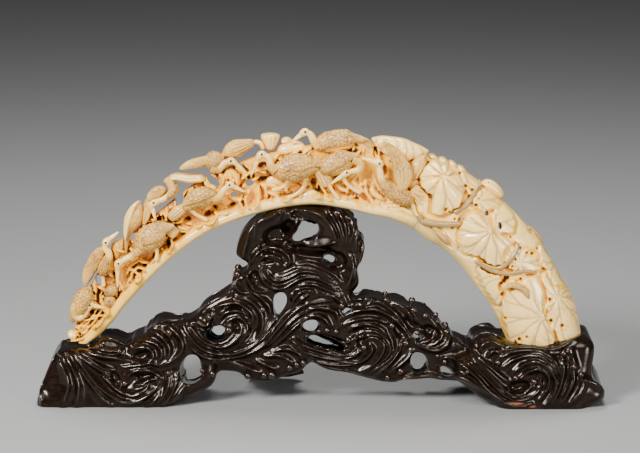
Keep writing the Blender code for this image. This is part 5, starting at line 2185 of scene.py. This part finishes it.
    Ridge(((413, 310), (421, 313), (428.8, 317.7), (434, 323), (438.2, 328.6)), 3.0),
    Ridge(((414, 342.5), (424.9, 348), (432.7, 350.4), (440.5, 349.6), (446.6, 345.2),
           (449.6, 339), (450.2, 332.3)), 3.0),
    Ridge(((420, 343.4), (427.4, 341.4), (433, 337), (437, 330)), 2.2),
    Ridge(((427, 346.5), (434.5, 344), (440.5, 339), (443.6, 331.9)), 2.4),
    Ridge(((440, 358.5), (451.4, 357.6), (463.5, 365.7), (475.7, 376.5), (486.5, 388.7),
           (498.7, 398.2), (510.9, 404.9)), 3.0),
    Ridge(((470.3, 361.7), (481.1, 372.5), (491.9, 383.3), (502.8, 394.1), (514.9, 399.6),
           (527, 397.8), (536, 391.4), (540, 384.6), (539, 379)), 2.6),
    Ridge(((477.1, 361), (486.5, 370.5), (494.6, 380), (502, 388), (512.2, 394.6),
           (521.7, 393.6), (529.8, 386.3)), 2.2),
    Ridge(((441, 372), (456, 375), (468, 380), (481, 388), (494, 395)), 3.0),
    Ridge(((458, 340), (468, 347), (478, 357), (492, 369), (505, 380)), 3.0),
    Ridge(((402, 379), (416, 377), (430, 376), (443, 378)), 2.8),
    # The right foot.
    Ridge(((470, 345), (475, 337), (485, 332.6), (496, 335), (505, 341)), 3.2),
    Ridge(((478, 350), (483, 343), (492, 341), (501, 346)), 2.8),
    Ridge(((486, 356), (492, 350), (500, 352)), 2.4),
    Ridge(((508, 345), (513, 347), (532, 347), (549, 349), (560, 346), (571, 340),
           (584, 334)), 2.4),
    Ridge(((500.7, 356.5), (510, 351.5), (524.4, 349.6), (537.9, 351), (549.5, 356.5),
           (556.5, 365.7), (559, 374)), 2.6),
    Ridge(((502.8, 366.5), (511, 359.6), (524.4, 355), (537.9, 355.5), (547.4, 361.3),
           (554.1, 369.8), (556, 378)), 2.4),
    Ridge(((514.3, 370.6), (521.7, 363.6), (532.5, 360.4), (543.3, 363.7), (550.5, 371.8),
           (555, 382), (552.5, 393), (544, 405)), 2.8),
    Ridge(((519, 378), (527, 371), (536, 367.6), (544, 371), (548, 379), (546, 389),
           (538, 399)), 2.4),
    Ridge(((560.9, 356.3), (562, 371.1), (558.5, 387.4), (551, 403)), 3.0),
    Ridge(((571.7, 368), (572.5, 379.2), (567.7, 390), (560.5, 402)), 3.4),
    Ridge(((580.5, 376), (582, 385), (577, 394), (569, 402.5)), 3.2),
    Ridge(((584, 379.2), (594.7, 383.3), (603, 390)), 3.0),
    Ridge(((570, 349), (571, 357), (574.4, 365.7)), 3.0),
    Ridge(((502, 402), (514, 404), (530, 403)), 2.6),
)
# Beads on the waves: steps to the right and down, and radius in steps.
BEADS = ((88, 346.7, 3.0), (102, 345.5, 2.8), (120, 351, 3.0), (125.1, 383.1, 3.8),
         (168.6, 372.7, 3.2), (169.6, 332.4, 4.2), (209.4, 317.2, 3.2),
         (262.8, 309.2, 3.4), (213.7, 309.2, 2.8), (270, 266.4, 2.4), (278, 264, 2.6),
         (285, 265, 2.6), (229, 329.8, 4.2), (237.5, 274, 3.8), (247.5, 376.2, 3.6),
         (212.4, 373.5, 3.4), (202.4, 370.2, 2.6), (264, 375.4, 3.4),
         (271.5, 375.2, 4.2), (289.6, 367.7, 3.4), (296.5, 364.6, 3.2),
         (303, 363, 3.2), (319, 331, 2.6), (327, 330.2, 3.0), (336.2, 331.3, 3.2),
         (348.3, 339.9, 3.4), (363.9, 347.3, 3.4), (391.8, 325.5, 3.8),
         (406, 343, 3.6), (400.8, 371.4, 3.8), (387.6, 377.6, 2.8), (413.3, 309.9, 3.6),
         (425, 315.4, 3.0), (437.4, 321.8, 2.8), (446.7, 332.1, 3.6), (445.2, 362, 3.2),
         (437.4, 355.8, 2.6), (466.3, 371, 2.4), (497.3, 361.7, 3.2), (514.9, 377.2, 3.2),
         (533.2, 380.6, 3.4), (562.3, 352.6, 3.6), (572.4, 365.7, 2.8),
         (579.8, 373.8, 2.8), (341.7, 305.2, 3.2), (132.4, 346.4, 2.6),
         (386, 299.8, 2.8))


# Deep hollows between the waves: the cave in the column, and the bowls of the swirls.
STAND_DENTS = (
    Pit((277, 236), 14.0, 9.0, 0.25, 8 * MM), Pit((289, 229), 8.0, 8.0, 0.0, 6 * MM),
    Pit((268, 247), 9.0, 6.0, 0.3, 4 * MM), Pit((285, 245), 8.0, 5.0, 0.0, 4 * MM),
    Pit((309, 230), 9.0, 8.0, 0.0, 6 * MM), Pit((312, 251), 24.0, 5.0, -0.1, 7 * MM),
    Pit((338, 262), 9.0, 10.0, 0.2, 4 * MM),
    Pit((216, 333), 10.0, 7.0, 0.0, 5 * MM), Pit((432, 332), 10.0, 7.0, -0.4, 5 * MM),
    Pit((518, 386), 11.0, 6.5, 0.3, 5 * MM), Pit((268, 262), 8.0, 4.0, 0.0, 3 * MM),
    Pit((362, 342), 6.0, 6.0, 0.3, 4 * MM), Pit((146, 376), 9.0, 3.6, 0.2, 3 * MM),
    Pit((116, 378), 4.0, 8.0, 0.5, 2.4 * MM), Pit((360, 333), 9.0, 4.0, 0.3, 3 * MM),
    Pit((310, 326), 9.0, 5.0, 0.2, 4 * MM), Pit((142, 355), 10.0, 4.0, 0.3, 2.6 * MM),
    Pit((254, 276), 5.0, 5.0, 0.0, 3 * MM), Pit((330, 341), 18.0, 4.0, -0.2, 4 * MM),
    Pit((400, 330), 7.0, 9.0, 0.6, 3 * MM), Pit((474, 352), 9.0, 4.0, -0.7, 3 * MM),
    Pit((237, 326), 5.0, 6.0, 0.2, 3 * MM), Pit((234, 307), 11.0, 3.0, 0.0, 3 * MM),
    Pit((412, 326), 14.0, 5.0, -0.5, 4 * MM),
)


@dataclass(frozen=True)
class Stand:
    """The wooden stand: boards and swellings grown into one form, then fluted and ribbed."""

    rough_cell: float = 1.5 * MM
    cell: float = 0.92 * MM
    softening: int = 9
    polishing: int = 3
    ridge_rise: float = 4.6 * MM
    flute_reach: float = 2.3
    flute_curve: float = 2.1
    sunk: float = 1.9 * MM
    crest_half_width: float = 0.85
    crest_out: float = 0.5 * MM
    crest_point_spacing: float = 3.0
    fewest_crest_points: int = 8
    lowest_crest: float = 1.5 * MM
    bead_out: float = 0.8 * MM
    kept_share: float = 0.575
    inside: float = 0.15 * MM
    below_floor: float = 0.06
    block_depth: float = 0.2
    hole_reach: float = 60 * MM

    @staticmethod
    def _forms() -> list[bpy.types.Object]:
        """Makes the overlapping closed forms that the stand grows from.

        Returns:
            The boards, the swellings, the rear leg and its toe.
        """
        forms = [slab.build() for slab in FEET_AND_ARM]
        for where, half_width, half_height, half_depth in SWELLINGS:
            swelling = ball("swelling", (0.0, 0.0, 0.0), 1.0, 32)
            size = np.array([half_width, half_depth, half_height]) * STEP
            move_points(swelling, points_of(swelling) * size + place(np.array(where)))
            forms.append(swelling)
        leg = [[*place(np.array(where), depth), width * STEP, half_depth]
               for where, width, half_depth, depth in REAR_LEG]
        forms.append(sweep("rear_leg", np.array(leg), 30, 32, blunt=0.08))
        forms.append(sweep("rear_toe", rows_of(REAR_TOE, 0.045, 0.0115), 30, 32, blunt=0.3))
        return forms

    def _flute(self, base: bpy.types.Object) -> None:
        """Carves the hollow flutes that run between the crests, and the deep dents.

        Args:
            base: The stand's form, changed in place.
        """
        points, normals = points_of(base), normals_of(base)
        mirrored = points.copy()
        behind = points[:, 1] > TUSK_PLANE_Y
        mirrored[behind, 1] = 2.0 * TUSK_PLANE_Y - mirrored[behind, 1]
        steps = seen(mirrored)
        height = np.zeros(len(points))
        for ridge in RIDGES:
            reach = self.flute_reach * ridge.half_width
            corners = np.asarray(ridge.line)
            near = ((steps > corners.min(0) - reach) & (steps < corners.max(0) + reach)).all(1)
            near = np.nonzero(near)[0]
            distance, share = near_line(steps[near], ridge.line)
            fade = np.sin(math.pi * np.clip(share, 0.06, 0.94)) ** 0.35
            slope = np.clip(1.0 - distance / reach, 0.0, 1.0) ** self.flute_curve
            height[near] = np.maximum(height[near], self.ridge_rise * fade * slope)
        height -= self.sunk
        for dent in STAND_DENTS:
            dent.sink_ground(steps, height)
        facing = 0.55 + 0.45 * ease(0.1, 0.5, np.abs(normals[:, 1]))
        move_points(base, points + normals * (height * facing)[:, None])
        self._keep_inside(base, self.below_floor)

    def _keep_inside(self, piece: bpy.types.Object, below_floor: float = 0.0) -> None:
        """Keeps a piece inside the stand's box.

        Args:
            piece: The piece, changed in place.
            below_floor: How far under the floor it may still reach, in metres.
        """
        low, high = (np.array(corner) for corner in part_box("stand"))
        low += (self.inside, self.inside, -below_floor)
        move_points(piece, np.clip(points_of(piece), low, high - self.inside))

    def _floor_block(self) -> bpy.types.Object:
        """Makes the block that cuts the stand flat at the floor.

        Returns:
            The block, with its top at the floor.
        """
        corners = np.array([(-40, 1000), (700, 1000), (700, 399), (-40, 399)])
        block = plug("below", corners, self.block_depth)
        level = points_of(block)
        level[:, 2] = np.where(level[:, 2] > -self.block_depth / 2, 0.0, -self.block_depth)
        move_points(block, level)
        return block

    def _base(self, hollow: bpy.types.Object) -> bpy.types.Object:
        """Makes the fluted form under the crests, cut flat below and hollowed for the tusk.

        Args:
            hollow: The closed form of the tusk, a little larger, to cut away.

        Returns:
            The base.
        """
        base = merged("stand_base", self._forms())
        finished(base, "REMESH", mode="VOXEL", voxel_size=self.rough_cell)
        for outline in STAND_HOLES:
            cut(base, plug("hole", rounded(outline, 24), self.hole_reach))
        finished(base, "REMESH", mode="VOXEL", voxel_size=self.cell, use_smooth_shade=True)
        finished(base, "SMOOTH", factor=0.5, iterations=self.softening)
        self._flute(base)
        finished(base, "SMOOTH", factor=0.5, iterations=self.polishing)
        cut(base, hollow)
        cut(base, self._floor_block())
        finished(base, "DECIMATE", ratio=self.kept_share)
        self._keep_inside(base)
        return base

    def _crest(self, tree: BVHTree, ridge: Ridge, face: Face) -> list[bpy.types.Object]:
        """Makes the thin rounded crest of one ridge, half sunk in the base.

        Args:
            tree: The base.
            ridge: The ridge.
            face: The side it lies on.

        Returns:
            The crest, or nothing where the ridge misses the base.
        """
        length = np.linalg.norm(np.diff(np.array(ridge.line), axis=0), axis=1).sum()
        count = max(self.fewest_crest_points, int(length / self.crest_point_spacing))
        points = landed(tree, resample_flat(ridge.line, count), face, 5)
        points = points[points[:, 2] > self.lowest_crest]
        if len(points) < self.fewest_crest_points - 2:
            return []
        share = np.linspace(0.0, 1.0, len(points))
        swell = 0.45 + 0.55 * np.sin(math.pi * share) ** 0.6
        points[:, 1] += face.value * self.crest_out
        width = self.crest_half_width * STEP * swell * ridge.half_width / 3.0
        rows = np.column_stack([points, width, width])
        piece = sweep("ridge", rows, int(1.25 * count), 7, blunt=0.10)
        stamp(piece, "crest", 0.5)
        return [piece]

    def _beads(self, tree: BVHTree, face: Face) -> list[bpy.types.Object]:
        """Makes the beads of one side, half sunk in the base.

        Args:
            tree: The base.
            face: The side they lie on.

        Returns:
            The beads that meet the base.
        """
        beads = []
        for right, down, radius in BEADS:
            hit = place_of_hit(tree, (right, down), face)
            if hit is not None and hit.z > radius * STEP:
                centre = np.array(hit) + (0.0, face.value * self.bead_out, 0.0)
                beads.append(ball("bead", centre, radius * STEP, 14))
                stamp(beads[-1], "crest", 1.0)
        return beads

    @staticmethod
    def _mark_worn(base: bpy.types.Object) -> None:
        """Writes the mark "worn" where the wood is bare, on the front alone.

        Args:
            base: The base.
        """
        points, worn = points_of(base), 0.0
        for where, half_width, half_height in WORN_PATCHES:
            away = (seen(points) - np.asarray(where)) / (half_width, half_height)
            worn = worn + ease(1.3, 0.7, np.hypot(*away.T)) * (points[:, 1] < TUSK_PLANE_Y)
        stamp(base, "worn", worn)

    def build(self, hollow: bpy.types.Object) -> list[bpy.types.Object]:
        """Makes the stand.

        Args:
            hollow: The closed form of the tusk, a little larger, to cut away.

        Returns:
            The base, and the crests and beads of the front and of the back.
        """
        base = self._base(hollow)
        stamp(base, "crest", 0.0)
        self._mark_worn(base)
        tree = BVHTree.FromObject(base, bpy.context.evaluated_depsgraph_get())
        pieces = [base]
        for face in Face:
            crests = [crest for ridge in RIDGES for crest in self._crest(tree, ridge, face)]
            pieces.append(merged(f"stand_crests_{face.name.lower()}",
                                 [*crests, *self._beads(tree, face)]))
            self._keep_inside(pieces[-1])
        return pieces


@dataclass(frozen=True)
class Tusk:
    """The whole carved tusk."""

    body: TuskBody = field(default_factory=TuskBody)
    clearance: float = 0.35 * MM
    small_eye_radius: float = 0.6 * MM

    def hollow(self) -> bpy.types.Object:
        """Makes the tusk's own smooth form, a little larger, to cut from the stand.

        Returns:
            The form.
        """
        rows = []
        for inner, outer, reach, half_depth, _ in TUSK_STATIONS:
            far = np.add(inner, np.multiply(np.subtract(outer, inner), reach))
            half = np.linalg.norm(far - np.asarray(inner)) / 2 * STEP
            rows.append([*place(np.add(inner, far) / 2), half + self.clearance,
                         half_depth + self.body.band_out + self.clearance])
        return sweep("hollow", np.array(rows), 120, 72, blunt=0.0)

    def build(self) -> list[bpy.types.Object]:
        """Makes the body, the herons, the leaves and the eyes.

        Returns:
            The pieces, the eyes last.
        """
        body = self.body.build()
        LOG.info("tusk body: %d pieces", len(body))
        herons = [merged(f"heron_{heron.name}", heron.build()) for heron in HERONS]
        LOG.info("herons: %d", len(herons))
        leaves = merged("leaves_and_pods", [piece for blade in BLADES for piece in blade.build()])
        pieces = [*body, *herons, leaves]
        # Writes the patina and the painted shade of the hollows.
        PatinaAndShade().write(pieces)
        dots = [dot for heron in HERONS for dot in heron.eyes()]
        dots += [ball("eye", place(np.array(where), depth), self.small_eye_radius, 12)
                 for where, depth in SMALL_EYES]
        return [*pieces, merged("heron_eyes", dots)]


@dataclass(frozen=True)
class Studio:
    """The floor, the lights and the camera."""

    target: Place = (320.0, 226.5)
    distance: float = 1.9
    picture_width: float = 0.48028
    sensor_width: float = 36.0
    floor_size: float = 6.0
    lamps_aim: tuple[float, float, float] = (0.0, 0.0, 0.1)
    air: tuple[float, float, float, float] = (0.8, 0.82, 0.85, 1)
    air_strength: float = 0.10

    def _floor(self) -> None:
        """Lays a wide plain floor under the feet."""
        bpy.ops.object.select_all(action="DESELECT")
        bpy.ops.mesh.primitive_plane_add(size=self.floor_size)
        floor = named("floor")
        floor.data.materials.append(PALE_FLOOR.material())
        floor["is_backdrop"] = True

    def _lamp(self, lamp_name: str, where: tuple[float, float, float], size: float,
              power: float) -> None:
        """Hangs one square soft light.

        Args:
            lamp_name: The name of the light.
            where: Its place in metres.
            size: The length of its side in metres.
            power: Its power in watts.
        """
        lamp = bpy.data.lights.new(lamp_name, "AREA")
        lamp.size = size
        lamp.energy = power
        holder = bpy.data.objects.new(lamp_name, lamp)
        bpy.context.scene.collection.objects.link(holder)
        holder.location = where
        ahead = Vector(self.lamps_aim) - Vector(where)
        holder.rotation_euler = ahead.to_track_quat("-Z", "Y").to_euler()

    def build(self) -> None:
        """Makes the whole studio."""
        self._floor()
        world = bpy.data.worlds.new("studio")
        world.use_nodes = True
        background = world.node_tree.nodes["Background"]
        background.inputs["Color"].default_value = self.air
        background.inputs["Strength"].default_value = self.air_strength
        bpy.context.scene.world = world
        self._lamp("key", (-0.8, -1.0, 0.95), 0.42, 51.0)
        self._lamp("fill", (0.9, -1.1, 0.3), 0.45, 15.0)
        self._lamp("front", (0.1, -1.0, 1.2), 0.45, 11.0)
        self._lamp("top", (0.1, 0.35, 1.3), 0.5, 16.0)
        aim = Vector(place(np.array(self.target)))
        back = Vector((0.0, -math.cos(VIEW_ELEVATION), math.sin(VIEW_ELEVATION)))
        lens = bpy.data.cameras.new("camera")
        lens.sensor_width = self.sensor_width
        lens.lens = self.sensor_width * self.distance / self.picture_width
        camera = bpy.data.objects.new("camera", lens)
        bpy.context.scene.collection.objects.link(camera)
        camera.location = aim + back * self.distance
        camera.rotation_euler = (-back).to_track_quat("-Z", "Y").to_euler()
        bpy.context.scene.camera = camera


def dress(pieces: Iterable[bpy.types.Object], material: bpy.types.Material,
          node: str) -> None:
    """Gives pieces their material and their place in the frame.

    Args:
        pieces: The finished pieces.
        material: The material that they all take.
        node: The solid that they stand for.
    """
    for piece in pieces:
        piece.data.materials.clear()
        piece.data.materials.append(material)
        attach(piece, BODY)
        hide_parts(node)
        LOG.info("%s: %d faces", piece.name, len(piece.data.polygons))


def as_lists(bounds: object) -> object:
    """Turns nested vectors, tuples or dictionaries into plain lists.


    Returns:
        The same numbers in lists, and in dictionaries where it had them.
    """
    if isinstance(bounds, dict):
        return {key: as_lists(value) for key, value in bounds.items()}
    if isinstance(bounds, (tuple, list, Vector)):
        return [as_lists(value) for value in bounds]
    return float(bounds)


def main() -> None:
    """Builds the tusk, the stand and the studio in the frame of the solids."""
    logging.basicConfig(level=logging.INFO)
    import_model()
    before = as_lists(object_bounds())
    tusk = Tusk()
    *ivory_pieces, eyes = tusk.build()
    stand_pieces = Stand().build(tusk.hollow())
    dress(ivory_pieces, IvoryFinish().material(), "tusk")
    dress([eyes], BLACK_INLAY.material(), "tusk")
    dress(stand_pieces, WoodFinish().material(), "stand")
    Studio().build()
    {"loaded": before, "finished": as_lists(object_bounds())}


if __name__ == "__main__":
    main()
